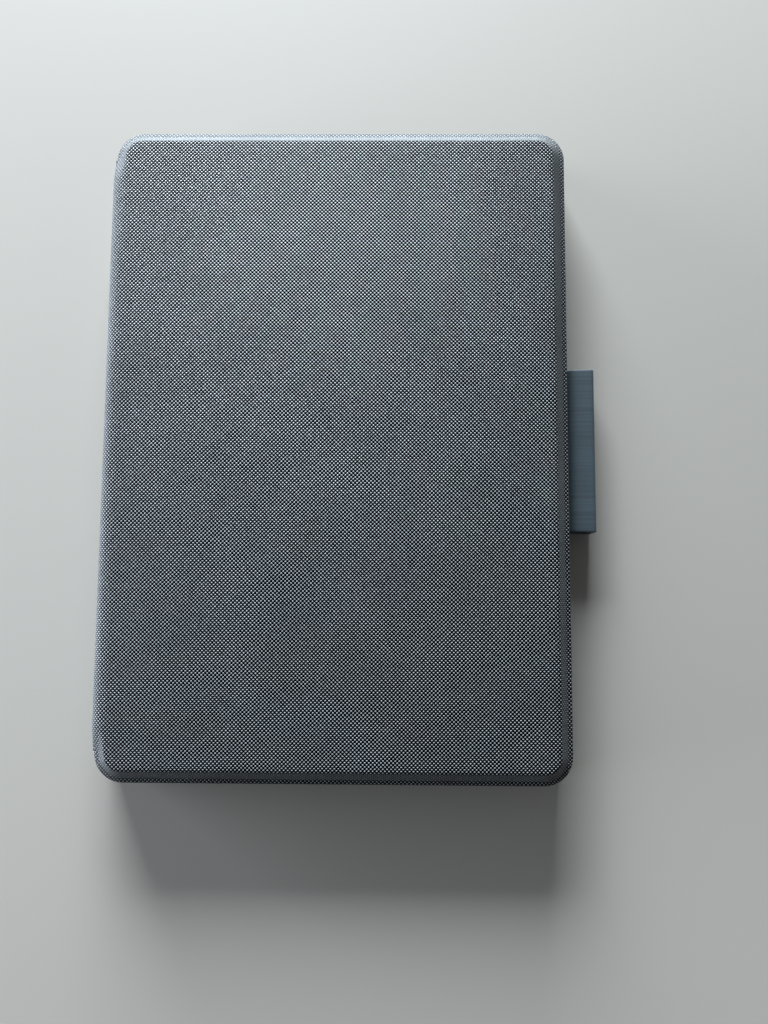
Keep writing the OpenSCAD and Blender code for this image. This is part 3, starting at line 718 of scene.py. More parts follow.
# Key caps of ABS with a soft-touch lacquer: a shade lighter than the deck, satin, worn smoother
# in patches.
LACQUERED_ABS = Finish(
    "lacquered_abs", colour="#3d4044", shade="#34373b", roughness=0.5, roughness_spread=0.07,
    grain_mm=0.22, grain_depth_mm=0.01, mottle_mm=6.0, ior=1.53)
# Moulded acetal links: pale, slightly waxy.
MOULDED_ACETAL = Finish(
    "moulded_acetal", colour="#c9c8c2", shade="#bdbcb6", roughness=0.35, grain_mm=0.5,
    grain_depth_mm=0.006, mottle_mm=5.0, ior=1.48)
# Moulded silicone: milky and matt.
MOULDED_SILICONE = Finish(
    "moulded_silicone", colour="#cdd0d2", shade="#bfc3c5", roughness=0.55, grain_mm=0.4,
    grain_depth_mm=0.006, mottle_mm=4.0, ior=1.41, sheen=0.1)
# Printed polyester film: clear grey with silver tracks.
PRINTED_POLYESTER = PrintedTracks(
    "printed_polyester", colour="#8e9698", shade="#838b8d", roughness=0.3, grain_mm=0.8,
    grain_depth_mm=0.004, mottle_mm=20.0, ior=1.57, coat=0.3)
# Cold-rolled steel sheet: grey, with a fine rolled grain.
ROLLED_STEEL = Finish(
    "rolled_steel", colour="#b4b3b0", shade="#9c9b98", roughness=0.34, grain_mm=0.35,
    grain_depth_mm=0.006, mottle_mm=22.0, grain=Grain.ROLLED, metallic=1.0)
# Drawn and polished stainless steel of a coin cell's can, finely brushed.
BRUSHED_STAINLESS = Finish(
    "brushed_stainless", colour="#c9c7c2", shade="#b4b2ad", roughness=0.26, grain_mm=0.25,
    grain_depth_mm=0.004, mottle_mm=8.0, grain=Grain.BRUSHED, metallic=1.0)
# Nickel-plated magnet: warm grey and bright, softly uneven.
PLATED_NICKEL = Finish(
    "plated_nickel", colour="#c6c0b4", shade="#b3ada1", roughness=0.22, grain_mm=0.6,
    grain_depth_mm=0.003, mottle_mm=4.0, metallic=1.0)
# Gold-flashed copper alloy spring leaf.
GOLD_FLASH = Finish(
    "gold_flash", colour="#d8b365", shade="#c29c50", roughness=0.28, grain_mm=0.3,
    grain_depth_mm=0.003, mottle_mm=3.0, grain=Grain.ROLLED, metallic=1.0)
# Glass-fibre board under solder mask: deep green with copper tracks showing through.
SOLDER_MASK = PrintedTracks(
    "solder_mask", colour="#1f4a35", shade="#1a3f2d", roughness=0.35, grain_mm=0.4,
    grain_depth_mm=0.006, mottle_mm=6.0, ior=1.55, coat=0.2, track="#3c7a52", pitch_mm=1.2,
    track_share=0.4)
# Polyimide flat cable: amber film over copper lines.
POLYIMIDE_FILM = PrintedTracks(
    "polyimide_film", colour="#b8782a", shade="#a56a22", roughness=0.32, grain_mm=0.5,
    grain_depth_mm=0.003, mottle_mm=5.0, ior=1.7, track="#8c5a24", pitch_mm=1.0, track_share=0.45)
# Moulded diffusing polycarbonate: milky white.
MILKY_POLYCARBONATE = Finish(
    "milky_polycarbonate", colour="#dfe5e6", shade="#d2dadc", roughness=0.3, grain_mm=0.4,
    grain_depth_mm=0.002, mottle_mm=2.0, ior=1.58, transmission=0.25)
# Pressed grey paperboard stiffener, fibrous and dull.
PRESSED_BOARD = Finish(
    "pressed_board", colour="#7f8184", shade="#6d6f72", roughness=0.85, grain_mm=0.7,
    grain_depth_mm=0.04, mottle_mm=9.0, ior=1.5)
# Acrylic adhesive film: pale and slightly glossy.
ACRYLIC_FILM = Finish(
    "acrylic_film", colour="#b9bcbd", shade="#acafb0", roughness=0.3, grain_mm=1.0,
    grain_depth_mm=0.01, mottle_mm=12.0, ior=1.48)
# Moulded and polished polycarbonate trim: near black with a gloss.
POLISHED_POLYCARBONATE = Finish(
    "polished_polycarbonate", colour="#1b1d1f", shade="#151718", roughness=0.18,
    roughness_spread=0.03, grain_mm=0.6, grain_depth_mm=0.002, mottle_mm=6.0, ior=1.58)
# Moulded nitrile rubber: black, dry and matt, so that it grips.
MOULDED_RUBBER = Finish(
    "moulded_rubber", colour="#1d1f21", shade="#161819", roughness=0.75, grain_mm=0.3,
    grain_depth_mm=0.03, mottle_mm=8.0, ior=1.52, sheen=0.1)


# ---------------------------------------------------------------- outlines and covers


@dataclass(frozen=True)
class Outline:
    """A rounded rectangle, walked anticlockwise as seen from above, from its +X +Y corner."""

    low: tuple[float, float]
    high: tuple[float, float]
    radius: float
    arc_points: int = 17
    side_step: float = 3.0

    def walk(self) -> tuple[np.ndarray, np.ndarray]:
        """Points on the edge and the outward normals there.

        A corner is centre + radius (cos a, sin a); the side after it runs straight to the next
        corner's first point, with the corner's last normal.

        Returns:
            Two arrays with a row for each point.
        """
        low, high = np.array(self.low, float), np.array(self.high, float)
        quarter = np.linspace(0, math.pi / 2, self.arc_points)
        centres = [(high[0] - self.radius, high[1] - self.radius),
                   (low[0] + self.radius, high[1] - self.radius),
                   (low[0] + self.radius, low[1] + self.radius),
                   (high[0] - self.radius, low[1] + self.radius)]
        points, normals = [], []
        for k, centre in enumerate(centres):
            angle = quarter + k * math.pi / 2
            normal = np.stack([np.cos(angle), np.sin(angle)], -1)
            arc = np.array(centre) + self.radius * normal
            target = np.array(centres[(k + 1) % 4]) + self.radius * normal[-1]
            run = np.linalg.norm(target - arc[-1])
            count = max(1, round(run / self.side_step))
            t = np.linspace(0, 1, count + 1)[1:-1, None]
            points += [arc, arc[-1] + t * (target - arc[-1])]
            normals += [normal, np.repeat(normal[-1:], len(t), 0)]
        return np.vstack(points), np.vstack(normals)


class Facing(Enum):
    """Which way a cover's cloth looks, up or down along Z."""

    UP = 1
    DOWN = -1


@dataclass
class ClothCover:
    """A formed cloth cover: flat panel, bevel, pressed lip and a hem turned round the lip.

    On the hinge side the cloth has no lip: it rolls over from the panel on a quarter ellipse and
    ends on the hinge line, where the spine's cloth goes on.
    """

    node: str
    piece: str
    body: str
    facing: Facing
    bevel_h: float
    lip_t: float
    hinge: tuple[float, float]
    corner_r: float = 11.0
    lip_w: float = 2.0
    bevel_w: float = 3.0
    lip_drop: float = 0.7
    panel_in: float = 8.0
    hem_w: float = 2.6
    roll_start: float = 6.4
    roll_end_y: float = 119.0
    roll_fade: float = 12.0
    cloth_t: float = 0.3
    panel_cut: float = 0.8
    crease_cut: float = 0.35
    edge_cut: float = 0.4
    edge_share: float = 0.45
    hook_power: float = 1.5
    round_steps: int = 5

    @property
    def shown_points(self) -> int:
        """How many points the quarter ellipse of the hinge side has."""
        return 3 * self.round_steps

    def profile(self) -> np.ndarray:
        """(inset, height over the lip) from the panel outwards and round the lip to the hem."""
        corners = [(self.panel_in, self.bevel_h), (self.lip_w + self.bevel_w, self.bevel_h),
                   (self.lip_w, 0), (0, -self.lip_drop), (0, -self.lip_t),
                   (self.hem_w, -self.lip_t)]
        edge = min(self.edge_cut, self.edge_share * (self.lip_t - self.lip_drop))
        return rounded_path(corners, [self.panel_cut, self.crease_cut, edge, edge],
                            self.round_steps)

    def roll(self, count: int, over: float) -> np.ndarray:
        """The hinge side's profile: a quarter ellipse and then a hook back under the panel.

        Args:
            count: number of points, as in the lipped profile.
            over: how far the hinge line lies outside the cover's outline.

        Returns:
            (inset, height over the lip) points.
        """
        shown = self.shown_points
        turn = np.linspace(0, math.pi / 2, shown)
        inset = self.roll_start - (self.roll_start + over) * np.sin(turn)
        height = self.bevel_h * np.cos(turn)
        t = np.linspace(0, 1, count - shown)[1:]
        hook = np.stack([-over + (self.hem_w + over) * t ** self.hook_power,
                         -self.lip_t * np.sqrt(t)], -1)
        start = [[self.panel_in, self.bevel_h]]
        return np.vstack([start, np.stack([inset, height], -1), hook])

    def rings(self) -> tuple[np.ndarray, np.ndarray]:
        """Points and flat places of the cover's cloth outside its panel.

        Each outline point is moved inwards by the profile's inset. The profile changes from the
        lipped one to the rolled one along the hinge side by a smooth step of |y|. A flat place is
        the panel ring's point plus its normal times the distance along the profile.

        Returns:
            Two arrays, (profile points, ring points, 3) and (profile points, ring points, 2).
        """
        low, high = box_mm(self.node)
        outline = Outline(tuple(low[:2]), tuple(high[:2]), self.corner_r)
        edge, normal = outline.walk()
        lipped = self.profile()
        rolled = self.roll(len(lipped), low[0] - self.hinge[0])
        hinge_side = edge[:, 0] < 0
        share = smooth_step((self.roll_end_y - np.abs(edge[:, 1])) / self.roll_fade) * hinge_side
        mixed = lipped[:, None] * (1 - share[:, None]) + rolled[:, None] * share[:, None]
        flat = edge[None] - normal[None] * mixed[..., :1]
        height = self.hinge[1] + self.facing.value * mixed[..., 1]
        points = np.concatenate([flat, height[..., None]], -1)
        along = arc_lengths(mixed)
        places = (edge - normal * self.panel_in)[None] + normal[None] * along[..., None]
        return points, places

    def hole(self) -> np.ndarray | None:
        """Points round a window in the panel, or None."""
        return None

    def build(self) -> bpy.types.Object:
        """Makes the cover.

        Returns:
            The new object.
        """
        points, places = self.rings()
        rows, columns = points.shape[:2]
        down = self.facing is Facing.DOWN
        faces = grid_faces(rows, columns, wrap=True, flip=down)
        vertices = points.reshape(-1, 3)
        uv = places.reshape(-1, 2)
        hole = self.hole()
        if hole is None:
            faces.append(list(range(columns)))
        else:
            loops = [[Vector(p) for p in points[0]], [Vector(p) for p in hole]]
            number = np.concatenate([np.arange(columns), len(vertices) + np.arange(len(hole))])
            triangles = number[np.array(tessellate_polygon(loops))]
            vertices = np.vstack([vertices, hole])
            faces += self.turned(triangles, vertices, down)
            uv = np.vstack([uv, hole[:, :2]])
        piece = make_piece(self.piece, vertices, faces, uv)
        solidify(piece, self.cloth_t)
        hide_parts(self.node)
        dress(piece, WOVEN_POLYESTER.material(), self.body)
        return piece

    @staticmethod
    def turned(triangles: np.ndarray, vertices: np.ndarray, down: bool) -> list:
        """Turns triangles so that they all look up, or all down, and drops empty ones.

        Args:
            triangles: vertex numbers, three a row.
            vertices: all the points.
            down: whether they should look down.

        Returns:
            Lists of three vertex numbers.
        """
        a, b, c = (vertices[triangles[:, i]][:, :2] for i in range(3))
        area = (b - a)[:, 0] * (c - a)[:, 1] - (b - a)[:, 1] * (c - a)[:, 0]
        wrong = (area < 0) != down
        fixed = np.where(wrong[:, None], triangles[:, ::-1], triangles)
        return fixed[np.abs(area) > 1e-9].tolist()


@dataclass
class WindowedCover(ClothCover):
    """The lower cover, whose panel has a round window for the camera ring."""

    window_air: float = 0.15
    window_points: int = 64

    def hole(self) -> np.ndarray:
        """Points round the window: centre + radius (cos a, sin a), on the panel's face."""
        low, high = box_mm("camera_ring")
        centre = (low + high) / 2
        radius = (high[0] - low[0]) / 2 + self.window_air
        angle = np.linspace(0, 2 * math.pi, self.window_points, endpoint=False)
        face = self.hinge[1] + self.facing.value * self.bevel_h
        return np.stack([centre[0] + radius * np.cos(angle), centre[1] + radius * np.sin(angle),
                         np.full_like(angle, face)], -1)


@dataclass
class Covers:
    """The two cloth covers and the lining of the lower one."""

    upper_hinge: tuple[float, float]
    lower_hinge: tuple[float, float]
    lining_r: float = 10.7
    upper: ClothCover = field(init=False)
    lower: WindowedCover = field(init=False)

    def build(self) -> None:
        """Makes both covers and the lining."""
        _, top_high = box_mm("top_cover_fabric")
        shell_low, _ = box_mm("top_cover_shell")
        self.upper = ClothCover(
            "top_cover_fabric", "upper_cover_cloth", "keyboard_half", Facing.UP,
            bevel_h=top_high[2] - self.upper_hinge[1],
            lip_t=self.upper_hinge[1] - shell_low[2] + ClothCover.cloth_t,
            hinge=self.upper_hinge)
        self.upper.build()
        base_low, base_high = box_mm("bottom_fabric")
        self.lower = WindowedCover(
            "bottom_fabric", "lower_cover_cloth", "tablet_half", Facing.DOWN,
            bevel_h=self.lower_hinge[1] - base_low[2], lip_t=base_high[2] - self.lower_hinge[1],
            hinge=self.lower_hinge, roll_start=5.6, panel_cut=0.5, lip_drop=0.0)
        self.lower.build()
        self.build_lining()

    def build_lining(self) -> None:
        """Makes the lower lining: a flat sheet with the camera's window."""
        low, high = box_mm("bottom_lining")
        edge, _ = Outline(tuple(low[:2]), tuple(high[:2]), self.lining_r).walk()
        rim = np.column_stack([edge, np.full(len(edge), high[2])])
        hole = self.lower.hole()
        hole[:, 2] = high[2]
        triangles = np.array(tessellate_polygon([[Vector(p) for p in rim],
                                                 [Vector(p) for p in hole]]))
        vertices = np.vstack([rim, hole])
        faces = ClothCover.turned(triangles, vertices, down=False)
        piece = make_piece("lower_lining", vertices, faces, vertices[:, :2])
        solidify(piece, high[2] - low[2])
        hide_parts("bottom_lining")
        dress(piece, BRUSHED_MICROFIBRE.material(), "tablet_half")


# ---------------------------------------------------------------- spine


@dataclass
class Spine:
    """The spine's cloth and lining, each in two strips, upper and lower."""

    upper_hinge: tuple[float, float]
    lower_hinge: tuple[float, float]
    covers: Covers
    bow: float = 0.45
    cloth_t: float = 0.35
    lining_t: float = 0.4
    bend_reach: float = 2.6
    tuck_in: float = 0.3
    tuck_down: float = 1.5
    turning: float = 1.2
    columns: int = 19
    step_y: float = 2.5
    lining_under: tuple[float, float] = (1.4, 0.6)
    lining_air: tuple[float, float] = (0.35, 0.1)
    lining_cut: float = 1.0
    lining_steps: int = 7

    def strip(self, piece: str, path: np.ndarray, ys: np.ndarray, thickness: float,
              flat_start: float) -> bpy.types.Object:
        """A closed strip: a section path carried along Y, with a wall.

        The inner face is the outer one moved by the wall along the section's normal, which is its
        tangent turned a quarter turn. The faces along the strip look inwards, the two ends outwards.

        Args:
            piece: the piece's name.
            path: (y rows, section points, 2) points of the outer face, x and z.
            ys: the rows' places along Y.
            thickness: the wall, in millimetres, grown to the right of the path's direction.
            flat_start: flat place across the cloth where the path starts.

        Returns:
            The new object.
        """
        tangent = np.gradient(path, axis=1)
        tangent /= np.linalg.norm(tangent, axis=-1, keepdims=True)
        side = np.stack([-tangent[..., 1], tangent[..., 0]], -1)
        back = path + side * thickness
        rows, columns = path.shape[:2]
        section = np.concatenate([path, back[:, ::-1]], 1)
        y = np.broadcast_to(ys[:, None], section.shape[:2])
        points = np.stack([section[..., 0], y, section[..., 1]], -1)
        along = arc_lengths(np.moveaxis(path, 1, 0)).T + flat_start
        across = np.concatenate([along, along[:, ::-1]], 1)
        uv = np.stack([-across, y], -1)
        faces = grid_faces(rows, 2 * columns, wrap=True, flip=True)
        ring = np.arange(2 * columns)
        faces.append(ring.tolist())
        faces.append((ring[::-1] + (rows - 1) * 2 * columns).tolist())
        return make_piece(piece, points.reshape(-1, 3), faces, uv.reshape(-1, 2))

    def build(self) -> None:
        """Makes the two strips of cloth and then the two of lining.

        A cloth strip follows half the spine's height and bows outwards by the sine of it. The
        covers' rolls fade out near the case's short sides, and there the strips are tucked in and
        run on behind them. Each strip's flat place goes on from the cover's.
        """
        low, high = box_mm("spine_fabric")
        ys = np.linspace(low[1], high[1], round((high[1] - low[1]) / self.step_y) + 1)
        upper = self.covers.upper
        fade = smooth_step((upper.roll_end_y - np.abs(ys)) / upper.roll_fade)
        top, base = self.upper_hinge[1], self.lower_hinge[1]
        middle = (top + base) / 2
        _, places = upper.rings()
        hinge_x, along_y = places[0].T
        mid_ring = np.argmin(hinge_x + 1e-3 * np.abs(along_y))
        rolled = -places[upper.shown_points, mid_ring, 0]
        spans = {"upper": (top, middle), "lower": (middle, base)}
        flats = {"upper": rolled, "lower": rolled + top - middle}
        for name, (start, end) in spans.items():
            t = np.linspace(0, 1, self.columns)[None, :]
            tuck = (1 - fade)[:, None] * self.tuck_down
            first = start - tuck if name == "upper" else np.full_like(tuck, start)
            last = end + tuck if name == "lower" else np.full_like(tuck, end)
            z = first + (last - first) * t
            whole = np.clip((z - base) / (top - base), 0, 1)
            x = (self.upper_hinge[0] - self.bow * np.sin(math.pi * whole)
                 + self.tuck_in * (1 - fade)[:, None])
            path = np.stack([x, z], -1)
            piece = self.strip(f"spine_cloth_{name}", path, ys, self.cloth_t, flats[name])
            self.finish(piece, name, WOVEN_POLYESTER, "outer_weave", "spine_fabric", path, ys)
        self.build_lining(ys)

    def build_lining(self, ys: np.ndarray) -> None:
        """Makes the inner strips, which run from the spine's lining under each half's edge.

        Args:
            ys: the rows' places along Y.
        """
        low, high = box_mm("spine_lining")
        middle = (low[2] + high[2]) / 2
        face = high[0]
        shell_low, _ = box_mm("top_cover_shell")
        tray_low, _ = box_mm("tablet_tray")
        ends = {"upper": (face + self.lining_under[0], shell_low[2] - self.lining_air[0]),
                "lower": (tray_low[0] + self.lining_under[1], tray_low[2] - self.lining_air[1])}
        for name, (end_x, end_z) in ends.items():
            line = rounded_path([(face, middle), (face, end_z), (end_x, end_z)],
                                [self.lining_cut], self.lining_steps)
            straight = np.linspace(line[0], line[1], self.columns)[:-1]
            section = np.vstack([straight, line[1:]])
            section = section if name == "upper" else section[::-1]
            path = np.broadcast_to(section, (len(ys), *section.shape)).copy()
            piece = self.strip(f"spine_lining_{name}", path, ys, self.lining_t, 0.0)
            self.finish(piece, name, BRUSHED_MICROFIBRE, "lining", "spine_lining", path, ys)

    def finish(self, piece: bpy.types.Object, name: str, cloth: Finish, slot: str, node: str,
               path: np.ndarray, ys: np.ndarray) -> None:
        """Dresses a strip, bends it at its hinge and declares its flat size.

        Args:
            piece: the strip.
            name: upper or lower.
            cloth: its finish.
            slot: the record's material slot; not used.
            node: the CAD node it stands for.
            path: its section; not used.
            ys: the rows' places along Y; not used.
        """
        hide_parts(node)
        dress(piece, cloth.material(), "")
        if name == "upper":
            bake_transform(piece)
        else:
            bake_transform(piece)


# ---------------------------------------------------------------- lower half


@dataclass
class StylusLoop:
    """The loop that holds a stylus: a sleeve of folded elastomer and its bonded tab."""

    end_r: float = 0.45
    mouth_r: float = 0.3
    square_power: float = 8.0
    slope_power: float = 2.05
    turns: int = 96
    runs: int = 41
    round_steps: int = 5
    tab_t: float = 0.7
    tab_end: float = 1.5
    tab_overlap: float = 0.8
    tab_corner_r: float = 1.0
    tab_rim: float = 0.9
    tab_round: float = 0.2

    def skin(self, angle: np.ndarray, half: np.ndarray) -> np.ndarray:
        """Distance of the sleeve's skin from the bore's axis.

        A superellipse, (|cos a| / half width)^n + (|sin a| / half height)^n = 1 / r^n. Its power
        is high, which makes it nearly square, but low in the upper quarter next to the case, where
        the skin slopes down.

        Args:
            angle: directions about the axis, from +X towards +Z.
            half: the section's half width and half height.

        Returns:
            The distances in millimetres.
        """
        towards_case = (np.cos(angle) < 0) & (np.sin(angle) > 0)
        power = np.where(towards_case, self.slope_power, self.square_power)
        across = (np.abs(np.cos(angle)) / half[0]) ** power
        upright = (np.abs(np.sin(angle)) / half[1]) ** power
        return (across + upright) ** (-1 / power)

    def run(self, low: float, high: float, corner: float) -> tuple[np.ndarray, np.ndarray]:
        """Places along the sleeve from end to end and how far the surface turns in at each.

        At an end the surface follows a quarter circle: corner (1 - cos t) along and
        corner (1 - sin t) in.

        Args:
            low: where the sleeve starts.
            high: where it ends.
            corner: the rounding's radius.

        Returns:
            Two arrays with a number for each ring.
        """
        t = np.linspace(0, math.pi / 2, self.round_steps)
        along, inwards = corner * (1 - np.cos(t)), corner * (1 - np.sin(t))
        between = np.linspace(low + corner, high - corner, self.runs)[1:-1]
        y = np.concatenate([low + along, between, (high - along)[::-1]])
        return y, np.concatenate([inwards, np.zeros_like(between), inwards[::-1]])

    def build(self) -> None:
        """Makes the sleeve and the tab.

        The surface runs along the skin, round the end into the bore and back: a closed ring of
        rings, each at centre + distance (cos a, sin a).
        """
        low, high = box_mm("stylus_loop")
        bore = next(m for m in frame["record"]["mounts"] if m["name"] == "stylus_bore")
        centre = np.array([bore["pos_m"][0], bore["pos_m"][2]]) / MM
        half = np.array([high[0], high[2]]) - centre
        angle = np.linspace(0, 2 * math.pi, self.turns, endpoint=False)
        skin_y, skin_in = self.run(low[1], high[1], self.end_r)
        bore_y, bore_out = self.run(low[1], high[1], self.mouth_r)
        skin = self.skin(angle, half)[None] - skin_in[:, None]
        hole = bore["dims"]["r_mm"] + np.repeat(bore_out[::-1, None], self.turns, 1)
        distance = np.vstack([skin, hole, skin[:1]])
        y = np.concatenate([skin_y, bore_y[::-1], skin_y[:1]])[:, None]
        points = np.stack([centre[0] + distance * np.cos(angle),
                           np.broadcast_to(y, distance.shape),
                           centre[1] + distance * np.sin(angle)], -1)
        piece = make_piece("stylus_sleeve", points.reshape(-1, 3),
                           grid_faces(len(y), self.turns, wrap=True))
        weld(piece)
        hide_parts("stylus_loop")
        dress(piece, CALENDERED_ELASTOMER.material(), "tablet_half")
        self.build_tab(low, high, centre[0] - half[0])

    def build_tab(self, low: np.ndarray, high: np.ndarray, sleeve_x: float) -> None:
        """Makes the tab that runs from the sleeve in under the tray: a rounded sheet.

        Args:
            low: the loop's lowest corner.
            high: the loop's highest corner.
            sleeve_x: where the sleeve's near side is.
        """
        lining_top = box_mm("bottom_lining")[1][2]
        edge, normal = Outline(
            (low[0], low[1] + self.tab_end), (sleeve_x + self.tab_overlap, high[1] - self.tab_end),
            self.tab_corner_r, self.round_steps).walk()
        profile = rounded_path(
            [(self.tab_rim, 0), (0, 0), (0, self.tab_t), (self.tab_rim, self.tab_t)],
            [self.tab_round] * 2)
        flat = edge[None] - normal[None] * profile[:, None, :1]
        z = np.broadcast_to(lining_top + profile[:, None, 1], flat.shape[:2])
        points = np.concatenate([flat, z[..., None]], -1)
        piece = make_piece("stylus_tab", points.reshape(-1, 3), tube_faces(*points.shape[:2]))
        weld(piece)
        dress(piece, CALENDERED_ELASTOMER.material(), "tablet_half")


@dataclass
class TabletTray:
    """The soft tray with its camera ring and side buttons."""

    tray_round: float = 0.35
    button_round: float = 0.3
    ring_round: float = 0.35
    ring_wall: float = 1.2
    ring_turns: int = 72

    def build(self) -> None:
        """Makes the tray, the buttons' pads and the ring."""
        tray = softened("tablet_tray", "tray_moulding", self.tray_round, 3)
        dress(tray, MOULDED_TPU.material(), "tablet_half")
        for button in ("power_button", "volume_up_button", "volume_down_button"):
            pad = softened(button, button.replace("button", "pad"), self.button_round, 3)
            dress(pad, MOULDED_TPU.material(), button)
        self.build_ring()

    def build_ring(self) -> None:
        """Makes the camera ring: a rounded wall turned about the window's axis."""
        low, high = box_mm("camera_ring")
        centre = (low + high) / 2
        outer = (high[0] - low[0]) / 2
        inner = outer - self.ring_wall
        middle = (inner + outer) / 2
        corners = [(middle, low[2]), (outer, low[2]), (outer, high[2]), (inner, high[2]),
                   (inner, low[2]), (middle, low[2])]
        profile = rounded_path(corners, [self.ring_round] * 4)
        ring = lathe(profile, (centre[0], centre[1]), self.ring_turns, "camera_trim")
        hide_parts("camera_ring")
        dress(ring, POLISHED_POLYCARBONATE.material(), "tablet_half")


# ---------------------------------------------------------------- keyboard half


class KeyRow(Enum):
    """The key rows, by the last part of their nodes' names."""

    FUNCTION = "function_row"
    NUMBER = "number_row"
    UPPER = "upper_row"
    HOME = "home_row"
    LOWER = "lower_row"
    MODIFIER = "modifier_row"
    SPACE = "space"

    @property
    def caps(self) -> str:
        """The node and body of the row's caps."""
        return "key_space" if self is KeyRow.SPACE else f"keys_{self.value}"


@dataclass
class KeySet:
    """The key caps with the links and domes under them.

    A cap's face has rings at face_rings of the way from its middle to its edge. The bump is the
    homing ridge's lift, length and half width; it stands bump_in from the cap's front and is sunk
    into its face by bump_sink.
    """

    corner_r: float = 1.2
    corner_points: int = 5
    top_in: float = 0.45
    edge_r: float = 0.35
    rim_r: float = 0.15
    lead_in: float = 0.01
    side_steps: int = 4
    face_rings: tuple[float, ...] = (0.02, 0.4, 0.75)
    dish: float = 0.22
    wall: float = 1.0
    top_t: float = 1.05
    bump: tuple[float, float, float] = (0.35, 3.0, 0.28)
    bump_in: float = 3.2
    bump_sink: float = 0.1
    bump_pole: float = 0.02
    bump_rings: int = 11
    bump_turns: int = 12
    homing: tuple[int, int] = (4, 7)
    link_round: float = 0.12
    link_keep: float = 0.5

    def cap(self, low: np.ndarray, high: np.ndarray) -> tuple[np.ndarray, list]:
        """One hollow key cap, face down.

        Rings of the rounded rectangle run from the middle of the dished face over its rounded
        edge, down the drafted side, round the rim and up inside to the ceiling. The dish's depth
        is its greatest at the middle and falls with the square of the distance.

        Args:
            low: the cap's lowest corner.
            high: its highest corner.

        Returns:
            Its points and its faces.
        """
        edge, normal = Outline(tuple(low[:2]), tuple(high[:2]), self.corner_r,
                               self.corner_points, math.inf).walk()
        centre = (low[:2] + high[:2]) / 2
        face, rim, ceiling = low[2], high[2], low[2] + self.top_t
        flat_in = self.top_in + self.edge_r
        top_edge = edge - normal * flat_in
        rings = [centre + (top_edge - centre) * s for s in self.face_rings]
        heights = [face + self.dish * (1 - s * s) for s in self.face_rings]
        side = rounded_path([(flat_in + self.lead_in, 0), (self.top_in, 0), (0, rim - face),
                             (self.wall, rim - face)], [self.edge_r, self.rim_r], self.side_steps)
        for inset, rise in side:
            rings.append(edge - normal * inset)
            heights.append(face + rise)
        inner = edge - normal * self.wall
        for s in (1.0, self.face_rings[0]):
            rings.append(centre + (inner - centre) * s)
            heights.append(ceiling)
        flat = np.array(rings)
        z = np.broadcast_to(np.array(heights)[:, None], flat.shape[:2])
        points = np.concatenate([flat, z[..., None]], -1)
        return points.reshape(-1, 3), tube_faces(*points.shape[:2], flip=True)

    def ridge(self, low: np.ndarray, high: np.ndarray) -> tuple[np.ndarray, list]:
        """The small ridge on a homing key: an ellipsoid half sunk near the cap's front.

        Its faces look inwards, but for the two small ends.

        Args:
            low: the cap's lowest corner.
            high: its highest corner.

        Returns:
            Its points and its faces.
        """
        lift, length, width = self.bump
        lat = np.linspace(self.bump_pole, math.pi - self.bump_pole, self.bump_rings)[:, None]
        lon = np.linspace(0, 2 * math.pi, self.bump_turns, endpoint=False)[None, :]
        centre = (low + high) / 2
        x = high[0] - self.bump_in + width * np.sin(lat) * np.cos(lon)
        y = centre[1] + length / 2 * np.cos(lat) * np.ones_like(lon)
        z = low[2] + self.bump_sink + lift * np.sin(lat) * np.sin(lon)
        points = np.stack([x, y, z], -1).reshape(-1, 3)
        ring = np.arange(self.bump_turns)
        faces = grid_faces(self.bump_rings, self.bump_turns, wrap=True)
        faces.append(ring[::-1].tolist())
        faces.append((ring + (self.bump_rings - 1) * self.bump_turns).tolist())
        return points, faces

    def build_caps(self, row: KeyRow) -> None:
        """Makes a row's caps as one piece.

        Args:
            row: the row.
        """
        points, faces, count = [], [], 0
        for number, (low, high) in enumerate(solid_boxes(row.caps)):
            shapes = [self.cap(low, high)]
            if row is KeyRow.HOME and number in self.homing:
                shapes.append(self.ridge(low, high))
            for some, quads in shapes:
                points.append(some)
                faces += [[i + count for i in f] for f in quads]
                count += len(some)
        piece = make_piece(f"caps_{row.value}", np.vstack(points), faces)
        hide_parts(row.caps)
        dress(piece, LACQUERED_ABS.material(), row.caps)

    def build(self) -> None:
        """Makes every row's caps, links and domes."""
        for row in KeyRow:
            self.build_caps(row)
            links = softened(f"scissors_{row.value}", f"links_{row.value}", self.link_round, 1)
            dress(links, MOULDED_ACETAL.material(), "keyboard_half")
            domes = softened(f"domes_{row.value}", f"cups_{row.value}", 0.0)
            dress(domes, MOULDED_SILICONE.material(), "keyboard_half")
            for piece in (links, domes):
                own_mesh(piece)


